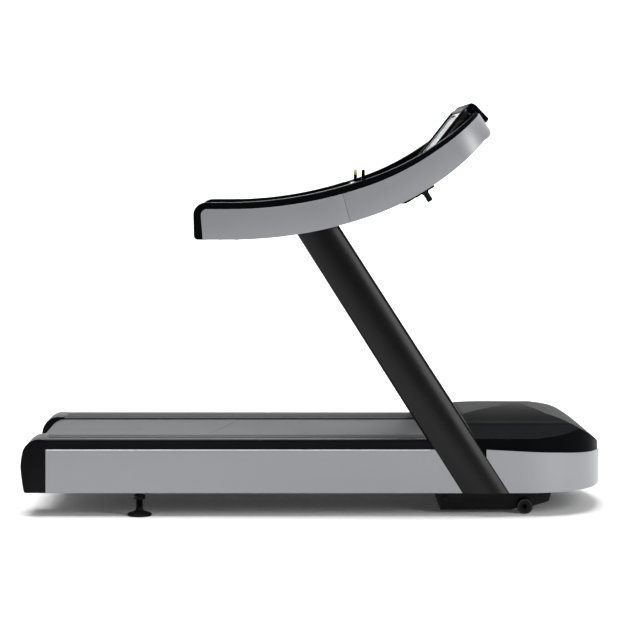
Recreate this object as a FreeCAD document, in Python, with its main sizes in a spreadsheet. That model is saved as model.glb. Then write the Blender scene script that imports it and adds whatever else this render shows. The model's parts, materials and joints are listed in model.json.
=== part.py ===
import FreeCAD, Part
import math
import os
import Sketcher
from FreeCAD import Placement, Rotation, Vector

# Motorised treadmill, built as an assembly of separate pieces, in millimetres.
# Frame: the runner faces +X (motor hood end), +Y is the runner's left, +Z is up.
# The origin is on the floor, under the middle of the whole machine.

doc = FreeCAD.newDocument("treadmill")
dims = doc.addObject("Spreadsheet::Sheet", "dims")

SIZES = [
    ("overall_length", 2200, "rear caps to the nose of the front shroud"),
    ("overall_width", 940, "outside of the handrail arms"),
    ("floor_gap", 87, "floor to the lower edge of the side panels"),
    ("panel_height", 161, "silver side panel"),
    ("panel_inset", 22, "side panel behind the outside of the arms"),
    ("panel_wall", 4, "side panel and front shroud thickness"),
    ("band_height", 37, "foot rail above the side panel"),
    ("rail_wall", 4, "foot rail thickness"),
    ("rail_fall", 4, "inner edge of a foot rail below its outer edge"),
    ("belt_width", 520, "running belt"),
    ("belt_thickness", 3, "running belt"),
    ("belt_step", 9, "running surface below the foot rails"),
    ("belt_side_gap", 2, "belt edge to foot rail lip"),
    ("deck_thickness", 25, "deck board"),
    ("deck_side", 95, "deck board beyond the belt, each side"),
    ("cushion_height", 12, "rubber cushions between deck and frame"),
    ("cushion_radius", 18, "rubber cushions"),
    ("frame_gap", 50, "belt edge to the chassis tubes"),
    ("frame_width", 50, "chassis tubes"),
    ("frame_height", 133, "chassis tubes"),
    ("frame_wall", 3, "chassis tubes"),
    ("cross_size", 40, "square cross tubes"),
    ("roller_radius", 50, "front and rear roller"),
    ("roller_wall", 5, "roller tube"),
    ("roller_reach", 10, "roller face beyond the belt, each side"),
    ("shaft_radius", 10, "fixed roller shafts"),
    ("running_fit", 0.05, "radial clearance of shafts and pins"),
    ("belt_clearance", 0.3, "belts around rollers and pulleys"),
    ("rear_roller_setback", 92, "rear roller axis from the tail"),
    ("front_roller_setback", 470, "front roller axis from the nose"),
    ("cap_length", 94, "rear end caps"),
    ("cap_wall", 4, "rear end caps"),
    ("hood_wall", 4, "motor hood"),
    ("hood_rise", 87, "motor hood above the foot rails"),
    ("post_setback", 476, "post centre on the floor line, from the nose"),
    ("post_lean", 666, "post top behind the post foot"),
    ("post_foot_length", 187, "post section along X at the foot"),
    ("post_top_length", 176, "post section along X at the top"),
    ("post_depth", 70, "post section across"),
    ("post_wall", 4, "post tube"),
    ("post_slot_gap", 1.5, "covers around a post"),
    ("arm_height", 1025, "underside of the handrail arms at their rear end"),
    ("arm_setback", 1559, "rear end of the handrail arms from the nose"),
    ("arm_width", 108, "handrail arms, across"),
    ("arm_cover_wall", 4, "silver arm covers"),
    ("arm_corner", 150, "arm covers where they turn across the front"),
    ("grip_height", 10, "soft grips let into the tops of the arms"),
    ("console_wall", 4, "console housing"),
    ("display_width", 560, "display unit"),
    ("display_length", 254, "display unit, up its slope"),
    ("display_depth", 28, "display unit"),
    ("display_border", 22, "bezel around the glass"),
    ("glass_depth", 8, "display glass and panel"),
    ("cup_radius", 40, "bottle holder, outside"),
    ("cup_wall", 2.5, "bottle holder"),
    ("cup_depth", 72, "bottle holder, outside"),
    ("key_length", 44, "console keys, across"),
    ("key_width", 26, "console keys, fore and aft"),
    ("key_gap", 0.4, "around a key and the stop button"),
    ("stop_radius", 21, "emergency stop cap"),
    ("grab_radius", 16, "front grab bar"),
    ("lever_length", 48, "finger lever above its pivot"),
    ("lever_size", 15, "finger lever, fore and aft"),
    ("pivot_radius", 3, "finger lever trunnions"),
    ("motor_setback", 220, "motor axis from the nose"),
    ("motor_rise", 138, "motor axis above the floor line of the base"),
    ("motor_radius", 70, "motor housing"),
    ("motor_shell", 8, "motor housing wall"),
    ("motor_shaft", 12, "motor shaft radius"),
    ("motor_pulley_radius", 30, "motor pulley, under the belt"),
    ("roller_pulley_radius", 60, "front roller pulley, under the belt"),
    ("pulley_width", 25, "both pulleys"),
    ("drive_belt_thickness", 4, "ribbed drive belt"),
    ("lift_wheel_radius", 29, "wheels of the lift frame"),
    ("lift_wheel_width", 25, "wheels of the lift frame"),
    ("lift_plate", 8, "side plates of the lift frame"),
    ("lift_reach", 296, "lift frame pivot to wheel axle"),
    ("lift_pin", 10, "lift frame pivot pin radius"),
    ("rod_radius", 10, "lift actuator rod"),
    ("foot_pad_radius", 45, "levelling feet"),
    ("foot_stud_radius", 11, "levelling feet"),
    ("foot_setback", 440, "levelling feet from the tail"),
]


class Size:
    """A length that carries its number and the sheet expression that gives it."""

    def __init__(self, number, text):
        self.number = float(number)
        self.text = text

    def __add__(self, other):
        other = as_size(other)
        return Size(self.number + other.number, f"({self.text} + {other.text})")

    def __sub__(self, other):
        other = as_size(other)
        return Size(self.number - other.number, f"({self.text} - {other.text})")

    def __mul__(self, factor):
        factor = as_size(factor)
        return Size(self.number * factor.number, f"({self.text} * {factor.text})")

    def __truediv__(self, divisor):
        divisor = as_size(divisor)
        return Size(self.number / divisor.number, f"({self.text} / {divisor.text})")

    def __neg__(self):
        return Size(-self.number, f"(0 - {self.text})")

    __radd__ = __add__
    __rmul__ = __mul__

    def __rsub__(self, other):
        return as_size(other) - self


def as_size(value):
    if isinstance(value, Size):
        return value
    text = f"{value:.6f}" if value >= 0 else f"(0 - {-value:.6f})"
    return Size(value, text)


class Sheet:
    """The driving sizes, by name, as Size values that point at their cells."""


def fill_sheet():
    sizes = Sheet()
    for row, (name, number, note) in enumerate(SIZES, start=1):
        dims.set(f"A{row}", note)
        dims.set(f"B{row}", str(number))
        dims.setAlias(f"B{row}", name)
        setattr(sizes, name, Size(number, f"dims.{name}"))
    doc.recompute()
    return sizes


s = fill_sheet()
nodes = {}


def node(name, obj):
    """Makes obj the sub-part that is written to parts/NAME.step."""
    obj.Label = name
    nodes[name] = obj
    return obj


def place(obj, x=0, y=0, z=0, turn_axis=None, angle=0):
    """Puts obj at a place whose coordinates stay bound to the sheet."""
    x, y, z = as_size(x), as_size(y), as_size(z)
    turn = Rotation(turn_axis, angle) if turn_axis else Rotation()
    obj.Placement = Placement(Vector(x.number, y.number, z.number), turn)
    obj.setExpression(".Placement.Base.x", x.text)
    obj.setExpression(".Placement.Base.y", y.text)
    obj.setExpression(".Placement.Base.z", z.text)
    return obj


AXIS_X = Vector(1, 0, 0)
AXIS_Y = Vector(0, 1, 0)
ALONG_Y = (AXIS_X, -90)
ALONG_X = (AXIS_Y, 90)


def box(name, size, at, turn_axis=None, angle=0):
    obj = doc.addObject("Part::Box", name)
    for prop, value in zip(("Length", "Width", "Height"), size):
        value = as_size(value)
        setattr(obj, prop, value.number)
        obj.setExpression(prop, value.text)
    return place(obj, *at, turn_axis=turn_axis, angle=angle)


def cylinder(name, radius, height, at, turn_axis=None, angle=0):
    obj = doc.addObject("Part::Cylinder", name)
    for prop, value in (("Radius", radius), ("Height", height)):
        value = as_size(value)
        setattr(obj, prop, value.number)
        obj.setExpression(prop, value.text)
    return place(obj, *at, turn_axis=turn_axis, angle=angle)


def cut(name, base, *tools):
    """Base without the tools, as a Part::Cut."""
    tool = tools[0] if len(tools) == 1 else fuse(name + "_tools", *tools)
    obj = doc.addObject("Part::Cut", name)
    obj.Base = base
    obj.Tool = tool
    return obj


def fuse(name, *members):
    obj = doc.addObject("Part::MultiFuse", name)
    obj.Shapes = list(members)
    return obj


def common(name, *members):
    obj = doc.addObject("Part::MultiCommon", name)
    obj.Shapes = list(members)
    return obj


def group(name, *members):
    """Separate solids that share one node."""
    obj = doc.addObject("Part::Compound", name)
    obj.Links = list(members)
    return obj


def edge_between(start, end, radius):
    """Straight edge, or the short arc that turns left (+) or right (-) on its way from start to end."""
    if radius is None:
        return Part.LineSegment(start, end)
    chord = end - start
    half = chord.Length / 2
    sagitta = abs(radius.number) - math.sqrt(radius.number ** 2 - half ** 2)
    right = Vector(chord.y, -chord.x, 0).normalize()
    bulge = right * math.copysign(sagitta, radius.number)
    return Part.Arc(start, (start + end) * 0.5 + bulge, end)


def sketch_loop(sketch, outline):
    """Adds one closed outline of (x, y) or (x, y, radius of the edge to the next point)."""
    points = [(as_size(p[0]), as_size(p[1])) for p in outline]
    radii = [as_size(p[2]) if len(p) > 2 and p[2] is not None else None for p in outline]
    corners = [Vector(x.number, y.number, 0) for x, y in points]
    count = len(points)
    first = sketch.GeometryCount
    for index in range(count):
        edge = edge_between(corners[index], corners[(index + 1) % count], radii[index])
        sketch.addGeometry(edge)

    def end_at(index, corner):
        near = sketch.getPoint(first + index, 1).distanceToPoint(corner)
        far = sketch.getPoint(first + index, 2).distanceToPoint(corner)
        return 1 if near < far else 2

    for index in range(count):
        follower = (index + 1) % count
        corner = corners[follower]
        sketch.addConstraint(Sketcher.Constraint(
            "Coincident", first + index, end_at(index, corner), first + follower, end_at(follower, corner)))
    for index, (x, y) in enumerate(points):
        end = end_at(index, corners[index])
        for kind, value in (("DistanceX", x), ("DistanceY", y)):
            number = sketch.addConstraint(Sketcher.Constraint(kind, -1, 1, first + index, end, value.number))
            sketch.setExpression(f"Constraints[{number}]", value.text)
        radius = radii[index]
        if radius is not None:
            size = radius if radius.number > 0 else -radius
            number = sketch.addConstraint(Sketcher.Constraint("Radius", first + index, size.number))
            sketch.setExpression(f"Constraints[{number}]", size.text)


def sketch_on(body, plane, loops, name="outline"):
    sketch = body.newObject("Sketcher::SketchObject", f"{body.Name}_{name}")
    support = next(f for f in body.Origin.OriginFeatures if f.Role == plane)
    sketch.AttachmentSupport = [(support, "")]
    sketch.MapMode = "FlatFace"
    for outline in loops:
        sketch_loop(sketch, outline)
    return sketch


def pad(name, plane, loops, length, at=(0, 0, 0), turn_axis=None, angle=0, symmetric=False):
    """A body with one sketch and one pad. XZ sketches pad towards -Y, XY ones +Z, YZ ones +X."""
    body = doc.addObject("PartDesign::Body", name)
    sketch = sketch_on(body, plane, loops)
    feature = body.newObject("PartDesign::Pad", f"{name}_pad")
    feature.Profile = sketch
    length = as_size(length)
    feature.Length = length.number
    feature.setExpression("Length", length.text)
    if symmetric:
        feature.SideType = "Symmetric"
    body.Tip = feature
    return place(body, *at, turn_axis=turn_axis, angle=angle)


def turned(name, outline, at=(0, 0, 0), turn_axis=None, angle=0):
    """A body turned about its own Z axis from an outline of (radius, height) points."""
    body = doc.addObject("PartDesign::Body", name)
    sketch = sketch_on(body, "XZ_Plane", [outline])
    feature = body.newObject("PartDesign::Revolution", f"{name}_turn")
    feature.Profile = sketch
    feature.ReferenceAxis = (sketch, ["V_Axis"])
    feature.Angle = 360
    body.Tip = feature
    return place(body, *at, turn_axis=turn_axis, angle=angle)


def hollow(body, wall, open_normals):
    """Thins a padded body to a wall, open on its faces that look along the given directions."""
    doc.recompute()
    base = body.Tip
    faces = []
    for number, face in enumerate(base.Shape.Faces, start=1):
        if not isinstance(face.Surface, Part.Plane):
            continue
        normal = face.normalAt(0, 0)
        if any(normal.dot(direction) > 0.99 for direction in open_normals):
            faces.append(f"Face{number}")
    feature = body.newObject("PartDesign::Thickness", f"{body.Name}_wall")
    feature.Base = (base, faces)
    feature.Value = wall.number
    feature.setExpression("Value", wall.text)
    feature.Reversed = True
    body.Tip = feature
    return body


def rectangle(x0, y0, x1, y1):
    return [(x0, y0), (x1, y0), (x1, y1), (x0, y1)]


def rounded(x0, y0, x1, y1, r):
    """Rectangle with rounded corners."""
    x0, y0, x1, y1, r = (as_size(v) for v in (x0, y0, x1, y1, r))
    return [(x0 + r, y0), (x1 - r, y0, r), (x1, y0 + r), (x1, y1 - r, r),
            (x1 - r, y1), (x0 + r, y1, r), (x0, y1 - r), (x0, y0 + r, r)]


SIDES = (("left", 1), ("right", -1))


def span(sign, inner, outer):
    """Where an XZ pad starts so that it fills |y| from inner to outer on one side."""
    return outer if sign > 0 else -inner


# ---------------------------------------------------------------- shared levels and stations

nose = s.overall_length / 2
tail = -nose
arm_face = s.overall_width / 2
panel_face = arm_face - s.panel_inset
panel_top = s.floor_gap + s.panel_height
rail_top = panel_top + s.band_height
belt_top = rail_top - s.belt_step
deck_top = belt_top - s.belt_thickness
deck_bottom = deck_top - s.deck_thickness
frame_top = deck_bottom - s.cushion_height
frame_bottom = frame_top - s.frame_height
frame_inner = s.belt_width / 2 + s.frame_gap
frame_outer = frame_inner + s.frame_width
lip = s.belt_width / 2 + s.belt_side_gap
belt_radius = s.roller_radius + s.belt_clearance
roller_z = deck_top - belt_radius
rear_roller_x = tail + s.rear_roller_setback
front_roller_x = nose - s.front_roller_setback
cap_front = tail + s.cap_length
hood_rear = nose - 570
rail_end = nose - 524
motor_x = nose - s.motor_setback
motor_z = s.floor_gap + s.motor_rise
cross_top = frame_bottom + s.cross_size


# ---------------------------------------------------------------- posts

post_outer = arm_face - s.arm_cover_wall
post_y = post_outer - s.post_depth / 2
post_foot_x = nose - s.post_setback
post_top_x = post_foot_x - s.post_lean
post_top_z = s.arm_height + 105


POST_CROWN = 15          # how much deeper a post is in the middle than its tight ends are across


def post_section(x, length, depth):
    """Oval of two broad arcs and two tight ends, all tangent."""
    end = depth / 2 - POST_CROWN
    reach = (length / 2 - end).number
    drop = (reach ** 2 - POST_CROWN ** 2) / (2 * POST_CROWN)
    slant = math.hypot(reach, drop)
    turn_x = length / 2 - end * (1 - reach / slant)
    turn_y = end * (drop / slant)
    broad = end + slant
    return [(x - turn_x, -turn_y, broad), (x + turn_x, -turn_y, end), (x + length / 2, 0, end),
            (x + turn_x, turn_y, broad), (x - turn_x, turn_y, end), (x - length / 2, 0, end)]


def post_loft(name, y, grow):
    """Solid between the oval foot and top sections, each grown all round by an amount."""
    body = doc.addObject("PartDesign::Body", name)
    lower = sketch_on(body, "XY_Plane", [post_section(
        post_foot_x, s.post_foot_length + grow * 2, s.post_depth + grow * 2)], "foot")
    upper = sketch_on(body, "XY_Plane", [post_section(
        post_top_x, s.post_top_length + grow * 2, s.post_depth + grow * 2)], "top")
    upper.AttachmentOffset = Placement(Vector(0, 0, (post_top_z - s.floor_gap).number), Rotation())
    upper.setExpression(".AttachmentOffset.Base.z", (post_top_z - s.floor_gap).text)
    loft = body.newObject("PartDesign::AdditiveLoft", f"{name}_loft")
    loft.Profile = lower
    loft.Sections = [upper]
    loft.Ruled = True
    body.Tip = loft
    return place(body, 0, y, s.floor_gap)


# ---------------------------------------------------------------- handrail arms: side outlines

arm_x = nose - s.arm_setback
arm_z = s.arm_height


def arm_point(x, z, radius=None):
    """A point of an arm outline, measured from the arm's lower rear corner."""
    return (arm_x + x, arm_z + z, radius)


ARM_UNDERSIDE = [(134, 0, 1600), (668, 92, 1000), (1081, 370, 46), (1111, 407)]

arm_outline = [arm_point(16, 0)] + [arm_point(*p) for p in ARM_UNDERSIDE] + [
    arm_point(1061, 482, -1100), arm_point(890, 345, -1020), arm_point(619, 217, -1550),
    arm_point(135, 137), arm_point(45, 137, 45), arm_point(0, 92), arm_point(2, 15, 16)]
cover_outline = [arm_point(35, 0)] + [arm_point(*p) for p in ARM_UNDERSIDE] + [
    arm_point(1069, 470, -1200), arm_point(890, 323, -1020), arm_point(624, 192, -1550),
    arm_point(135, 113), arm_point(50, 113, 22), arm_point(28, 91)]
grip_outline = [
    arm_point(60, 137 - s.grip_height), arm_point(135, 137 - s.grip_height, 1555),
    arm_point(592, 209 - s.grip_height), arm_point(589, 209, -1550),
    arm_point(135, 137), arm_point(60, 137)]

cavity_outline = [
    arm_point(30, 10), arm_point(134, 10, 1590), arm_point(665, 101.5, 990), arm_point(1009, 311),
    arm_point(985, 396, -1116), arm_point(899, 331.6, -1036), arm_point(624, 201.7, -1566),
    arm_point(135, 121), arm_point(30, 121)]

FRONT_TILT = 33.69     # the arms' front face leans back by this many degrees from upright
front_cos = math.cos(math.radians(FRONT_TILT))
front_sin = math.sin(math.radians(FRONT_TILT))
# Distance of the front face from the origin, along its own normal.
front_reach = (arm_x + 1111) * front_cos + (arm_z + 407) * front_sin


def horseshoe(inset):
    """Plan of the arms and the front between them, as seen square to the tilted front face."""
    half = arm_face - inset
    front = front_reach - inset
    corner = s.arm_corner - inset
    rear = front - 1700
    return [(rear, -half), (front - corner, -half, corner), (front, -half + corner),
            (front, half - corner, corner), (front - corner, half), (rear, half)]


SEAM_GAP = 1.2


def seam_box(name, forward):
    """A large block ahead of, or behind, the slanted seam of the arm covers, with half the seam's gap."""
    shift = -SEAM_GAP / 2 if forward else SEAM_GAP / 2 - 900
    tilt = 15.3
    seam_x = arm_x + 560 + shift * math.cos(math.radians(tilt))
    seam_z = arm_z + 140 + shift * math.sin(math.radians(tilt))
    low = 600
    at = (seam_x + low * math.sin(math.radians(tilt)), -arm_face - 20,
          seam_z - low * math.cos(math.radians(tilt)))
    return box(name, (900, s.overall_width + 40, 1400), at, AXIS_Y, -tilt)


ARM_WALL = 5


def build_arms():
    inside = pad("arm_inside", "XY_Plane", [horseshoe(s.arm_cover_wall)], 1400,
                 turn_axis=AXIS_Y, angle=-FRONT_TILT)
    outside = pad("arm_outside", "XY_Plane", [horseshoe(as_size(0))], 1400,
                  turn_axis=AXIS_Y, angle=-FRONT_TILT)
    grips = []
    for side, sign in SIDES:
        inner = arm_face - s.arm_width
        outer = arm_face - s.arm_cover_wall
        bar = pad(f"arm_bar_{side}", "XZ_Plane", [arm_outline], outer - inner, (0, span(sign, inner, outer), 0))
        grip = pad(f"arm_grip_{side}", "XZ_Plane", [grip_outline], outer - inner - 20,
                   (0, span(sign, inner + 10, outer - 10), 0))
        grips.append(grip)
        shaped = common(f"arm_shape_{side}", bar, inside)
        slot_y = lever_y(sign)
        slot = box(f"lever_slot_{side}", (44, s.lever_size + 1, 60),
                   (lever_x - 22, slot_y - s.lever_size / 2 - 0.5, lever_z - 22))
        pivot = cylinder(f"lever_bore_{side}", s.pivot_radius + s.running_fit, s.lever_size + 13,
                         (lever_x, slot_y - s.lever_size / 2 - 6.5, lever_z), *ALONG_Y)
        cavity = pad(f"arm_cavity_{side}", "XZ_Plane", [cavity_outline], outer - inner - ARM_WALL * 2,
                     (0, span(sign, inner + ARM_WALL, outer - ARM_WALL), 0))
        cable_way = box(f"cable_way_{side}", (60, 20, 30),
                        (arm_x + 860, inner - 10 if sign > 0 else -inner - 10, arm_z + 240))
        node(f"arm_core_{side}", cut(f"arm_core_{side}", shaped, grip, slot, pivot, cavity, cable_way))
        plate = pad(f"cover_plate_{side}", "XZ_Plane", [cover_outline], s.arm_cover_wall,
                    (0, span(sign, outer, arm_face), 0))
        node(f"arm_cover_{side}", cut(f"arm_cover_{side}", plate, seam_box(f"seam_ahead_{side}", True)))
    node("arm_grips", group("arm_grips", *grips))
    skin = cut("arm_skin", outside, inside)
    band = pad("cover_band", "XZ_Plane", [cover_outline], s.overall_width, symmetric=True)
    front = common("arm_front", band, skin)
    node("arm_cover_front", cut("arm_cover_front", front, seam_box("seam_behind", False)))


# ---------------------------------------------------------------- finger levers

lever_x = arm_x + 631
lever_z = arm_z + 212


def lever_y(sign):
    return sign * (arm_face - s.arm_width + 26)


def build_levers():
    """Each lever is one moulding with its hub and trunnions."""
    for side, sign in SIDES:
        y = lever_y(sign)
        half = s.lever_size / 2
        tip = half * 0.8
        stalk = pad(f"lever_stalk_{side}", "XZ_Plane",
                    [[(-half, 0), (half, 0), (tip, s.lever_length - tip, tip), (0, s.lever_length, tip),
                      (-tip, s.lever_length - tip)]],
                    s.lever_size - 3, (lever_x, y, lever_z), symmetric=True)
        hub = cylinder(f"lever_hub_{side}", 9, s.lever_size - 1, (lever_x, y - (s.lever_size - 1) / 2, lever_z),
                       *ALONG_Y)
        pin = cylinder(f"lever_pin_{side}", s.pivot_radius, s.lever_size + 11,
                       (lever_x, y - (s.lever_size + 11) / 2, lever_z), *ALONG_Y)
        node(f"lever_{side}", fuse(f"lever_{side}", stalk, hub, pin))


# ---------------------------------------------------------------- chassis

CROSS_STATIONS = ("rear", "middle", "forward", "motor_rear", "motor_front")


def cross_x(station):
    """Centre of each cross tube along X."""
    return {
        "rear": tail + 190,
        "middle": tail + 640,
        "forward": front_roller_x - 330,
        "motor_rear": motor_x - 70,
        "motor_front": motor_x + 75,
    }[station]


def build_chassis():
    tubes = []
    front_end = nose - 140
    rear_end = tail + 50
    for side, sign in SIDES:
        tube = pad(f"frame_tube_{side}", "YZ_Plane",
                   [rectangle(frame_inner * sign, frame_bottom, frame_outer * sign, frame_top),
                    rectangle((frame_inner + s.frame_wall) * sign, frame_bottom + s.frame_wall,
                              (frame_outer - s.frame_wall) * sign, frame_top - s.frame_wall)],
                   front_end - rear_end, (rear_end, 0, 0))
        holes = []
        for end, x in (("rear", rear_roller_x), ("front", front_roller_x)):
            holes.append(cylinder(f"shaft_hole_{end}_{side}", s.shaft_radius, s.frame_width + 2,
                                  (x, -frame_outer - 1 if sign < 0 else frame_inner - 1, roller_z), *ALONG_Y))
        tubes.append(cut(f"frame_rail_{side}", tube, *holes))
    node("frame_rails", group("frame_rails", *tubes))

    half = s.cross_size / 2
    cross = []
    for station in CROSS_STATIONS:
        loops = [rectangle(-half, 0, half, s.cross_size),
                 rectangle(-half + s.frame_wall, s.frame_wall, half - s.frame_wall, s.cross_size - s.frame_wall)]
        cross.append(pad(f"cross_{station}", "XZ_Plane", loops, frame_inner * 2,
                         (cross_x(station), 0, frame_bottom), symmetric=True))
    node("frame_crossmembers", group("frame_crossmembers", *cross, *frame_lugs()))

    deck_rear = rear_roller_x + s.roller_radius + 25
    deck_front = front_roller_x - s.roller_radius - 25
    deck_half = s.belt_width / 2 + s.deck_side
    node("deck_board", box("deck_board", (deck_front - deck_rear, deck_half * 2, s.deck_thickness),
                           (deck_rear, -deck_half, deck_bottom)))
    cushions = []
    for side, sign in SIDES:
        for number in range(4):
            x = deck_rear + 90 + (deck_front - deck_rear - 180) * (number / 3)
            cushions.append(cylinder(f"cushion_{side}_{number}", s.cushion_radius, s.cushion_height,
                                     (x, (frame_inner + 22) * sign, frame_top)))
    node("deck_cushions", group("deck_cushions", *cushions))


def frame_lugs():
    """Welded brackets: foot outriggers, post brackets, lift frame lugs with pins, actuator ears."""
    lugs = []
    for side, sign in SIDES:
        reach = foot_y + 20 - frame_outer
        outrigger = box(f"outrigger_{side}", (60, reach, s.cross_size),
                        (foot_x - 30, frame_outer if sign > 0 else -frame_outer - reach, frame_bottom))
        bore = cylinder(f"foot_bore_{side}", s.foot_stud_radius + s.running_fit, s.cross_size + 2,
                        (foot_x, foot_y * sign, frame_bottom - 1))
        lugs.append(cut(f"foot_bracket_{side}", outrigger, bore))
        post_inner = post_outer - s.post_depth
        lugs.append(box(f"post_bracket_{side}", (110, post_inner - frame_outer, 90),
                        (post_foot_x - 90, frame_outer if sign > 0 else -post_inner, frame_bottom + 12)))
        ear = pad(f"lift_ear_{side}", "XZ_Plane",
                  [[(-28, frame_bottom - lift_z), (-16, -10, 19), (16, -10), (28, frame_bottom - lift_z)]],
                  10, (lift_x, span(sign, lift_ear_inner, lift_ear_inner + 10), lift_z))
        pin = cylinder(f"lift_pin_{side}", s.lift_pin, s.lift_plate + 12,
                       (lift_x, lift_ear_inner + 10 if sign > 0 else -lift_ear_inner - 22 - s.lift_plate, lift_z),
                       *ALONG_Y)
        lugs.append(fuse(f"lift_pivot_{side}", ear, pin))
        top_x = actuator_top[0]
        top_z = actuator_top[1]
        tube_x = cross_x("motor_rear")
        lugs.append(pad(f"actuator_ear_{side}", "XZ_Plane",
                        [[(tube_x - 18, cross_top), (tube_x + 18, cross_top), (top_x + 18, top_z + 14),
                          (top_x - 16, top_z + 14), (top_x - 16, top_z - 12), (top_x + 8, top_z - 22)]],
                        6, (0, span(sign, as_size(24), as_size(30)), 0)))
    return lugs


# ---------------------------------------------------------------- rollers, pulleys and belts

drum_half = s.belt_width / 2 + s.roller_reach
pulley_inner = drum_half + 5
pulley_outer = pulley_inner + s.pulley_width


def drum(name, x, reach):
    """Roller tube with end plugs; reach is how far its plug stands out on the +Y end."""
    bore = s.shaft_radius + s.running_fit
    inside = s.roller_radius - s.roller_wall
    plug = 22
    return turned(name, [
        (bore, -drum_half), (s.roller_radius - 1, -drum_half), (s.roller_radius, -drum_half + 1),
        (s.roller_radius, drum_half - 1), (s.roller_radius - 1, drum_half), (24, drum_half),
        (24, drum_half + reach), (bore, drum_half + reach), (bore, drum_half - plug),
        (inside, drum_half - plug), (inside, -drum_half + plug), (bore, -drum_half + plug)],
        (x, 0, roller_z), *ALONG_Y)


def pulley_outline(bore, radius, width, web):
    """Flanged pulley with a shallow ribbed face between the flanges, and a thin web."""
    rim = radius + 3
    ribs = 6
    flange = 2
    step = (width - flange * 2) / (ribs * 2)
    face = [(rim, 0), (rim, flange)]
    for number in range(ribs):
        face.append((radius, step * (number * 2) + flange))
        face.append((radius - 2, step * (number * 2 + 1) + flange))
    face += [(radius, width - flange), (rim, width - flange), (rim, width)]
    if web:
        return [(bore, 0)] + face + [(radius - 10, width), (radius - 10, width / 2),
                                     (bore + 14, width / 2), (bore + 14, width), (bore, width)]
    return [(bore, 0)] + face + [(bore, width)]


def belt_loop(name, first, first_radius, second, second_radius, thickness, width, y):
    """Closed belt round two wheels: straight runs that touch both, and two arcs. Lies square to Y."""
    (x0, z0), (x1, z1) = first, second
    run = math.atan2(z1 - z0, x1 - x0)
    lean = math.acos((first_radius - second_radius) / math.hypot(x1 - x0, z1 - z0))

    def outline(grow):
        top = run + lean
        low = run - lean

        def on(cx, cz, radius, angle):
            return Vector(cx + radius * math.cos(angle), y, cz + radius * math.sin(angle))

        a, b = first_radius + grow, second_radius + grow
        edges = [
            Part.LineSegment(on(x0, z0, a, top), on(x1, z1, b, top)).toShape(),
            Part.Arc(on(x1, z1, b, top), on(x1, z1, b, run), on(x1, z1, b, low)).toShape(),
            Part.LineSegment(on(x1, z1, b, low), on(x0, z0, a, low)).toShape(),
            Part.Arc(on(x0, z0, a, low), on(x0, z0, a, run + math.pi), on(x0, z0, a, top)).toShape()]
        return Part.Face(Part.Wire(edges))

    ring = outline(thickness).cut(outline(0))
    obj = doc.addObject("Part::Feature", name)
    obj.Shape = ring.extrude(Vector(0, width, 0))
    return obj


def build_running_gear():
    rear = drum("rear_roller", rear_roller_x, 0.5)
    node("rear_roller", rear)
    node("front_roller", drum("front_roller", front_roller_x, 5))
    shafts = []
    for end, x in (("rear", rear_roller_x), ("front", front_roller_x)):
        shafts.append(cylinder(f"{end}_shaft", s.shaft_radius, frame_outer * 2 + 6,
                               (x, -frame_outer - 3, roller_z), *ALONG_Y))
    node("roller_shafts", group("roller_shafts", *shafts))
    node("roller_pulley", turned(
        "roller_pulley", pulley_outline(s.shaft_radius + s.running_fit, s.roller_pulley_radius, s.pulley_width, True),
        (front_roller_x, pulley_inner, roller_z), *ALONG_Y))
    node("running_belt", belt_loop(
        "running_belt", (rear_roller_x.number, roller_z.number), belt_radius.number,
        (front_roller_x.number, roller_z.number), belt_radius.number,
        s.belt_thickness.number, s.belt_width.number, -s.belt_width.number / 2))
    node("drive_belt", belt_loop(
        "drive_belt", (front_roller_x.number, roller_z.number), (s.roller_pulley_radius + s.belt_clearance).number,
        (motor_x.number, motor_z.number), (s.motor_pulley_radius + s.belt_clearance).number,
        s.drive_belt_thickness.number * 0.6, s.pulley_width.number - 5, pulley_inner.number + 2.5))


# ---------------------------------------------------------------- drive motor and electrics

motor_left = as_size(150)
motor_right = as_size(-170)


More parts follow.
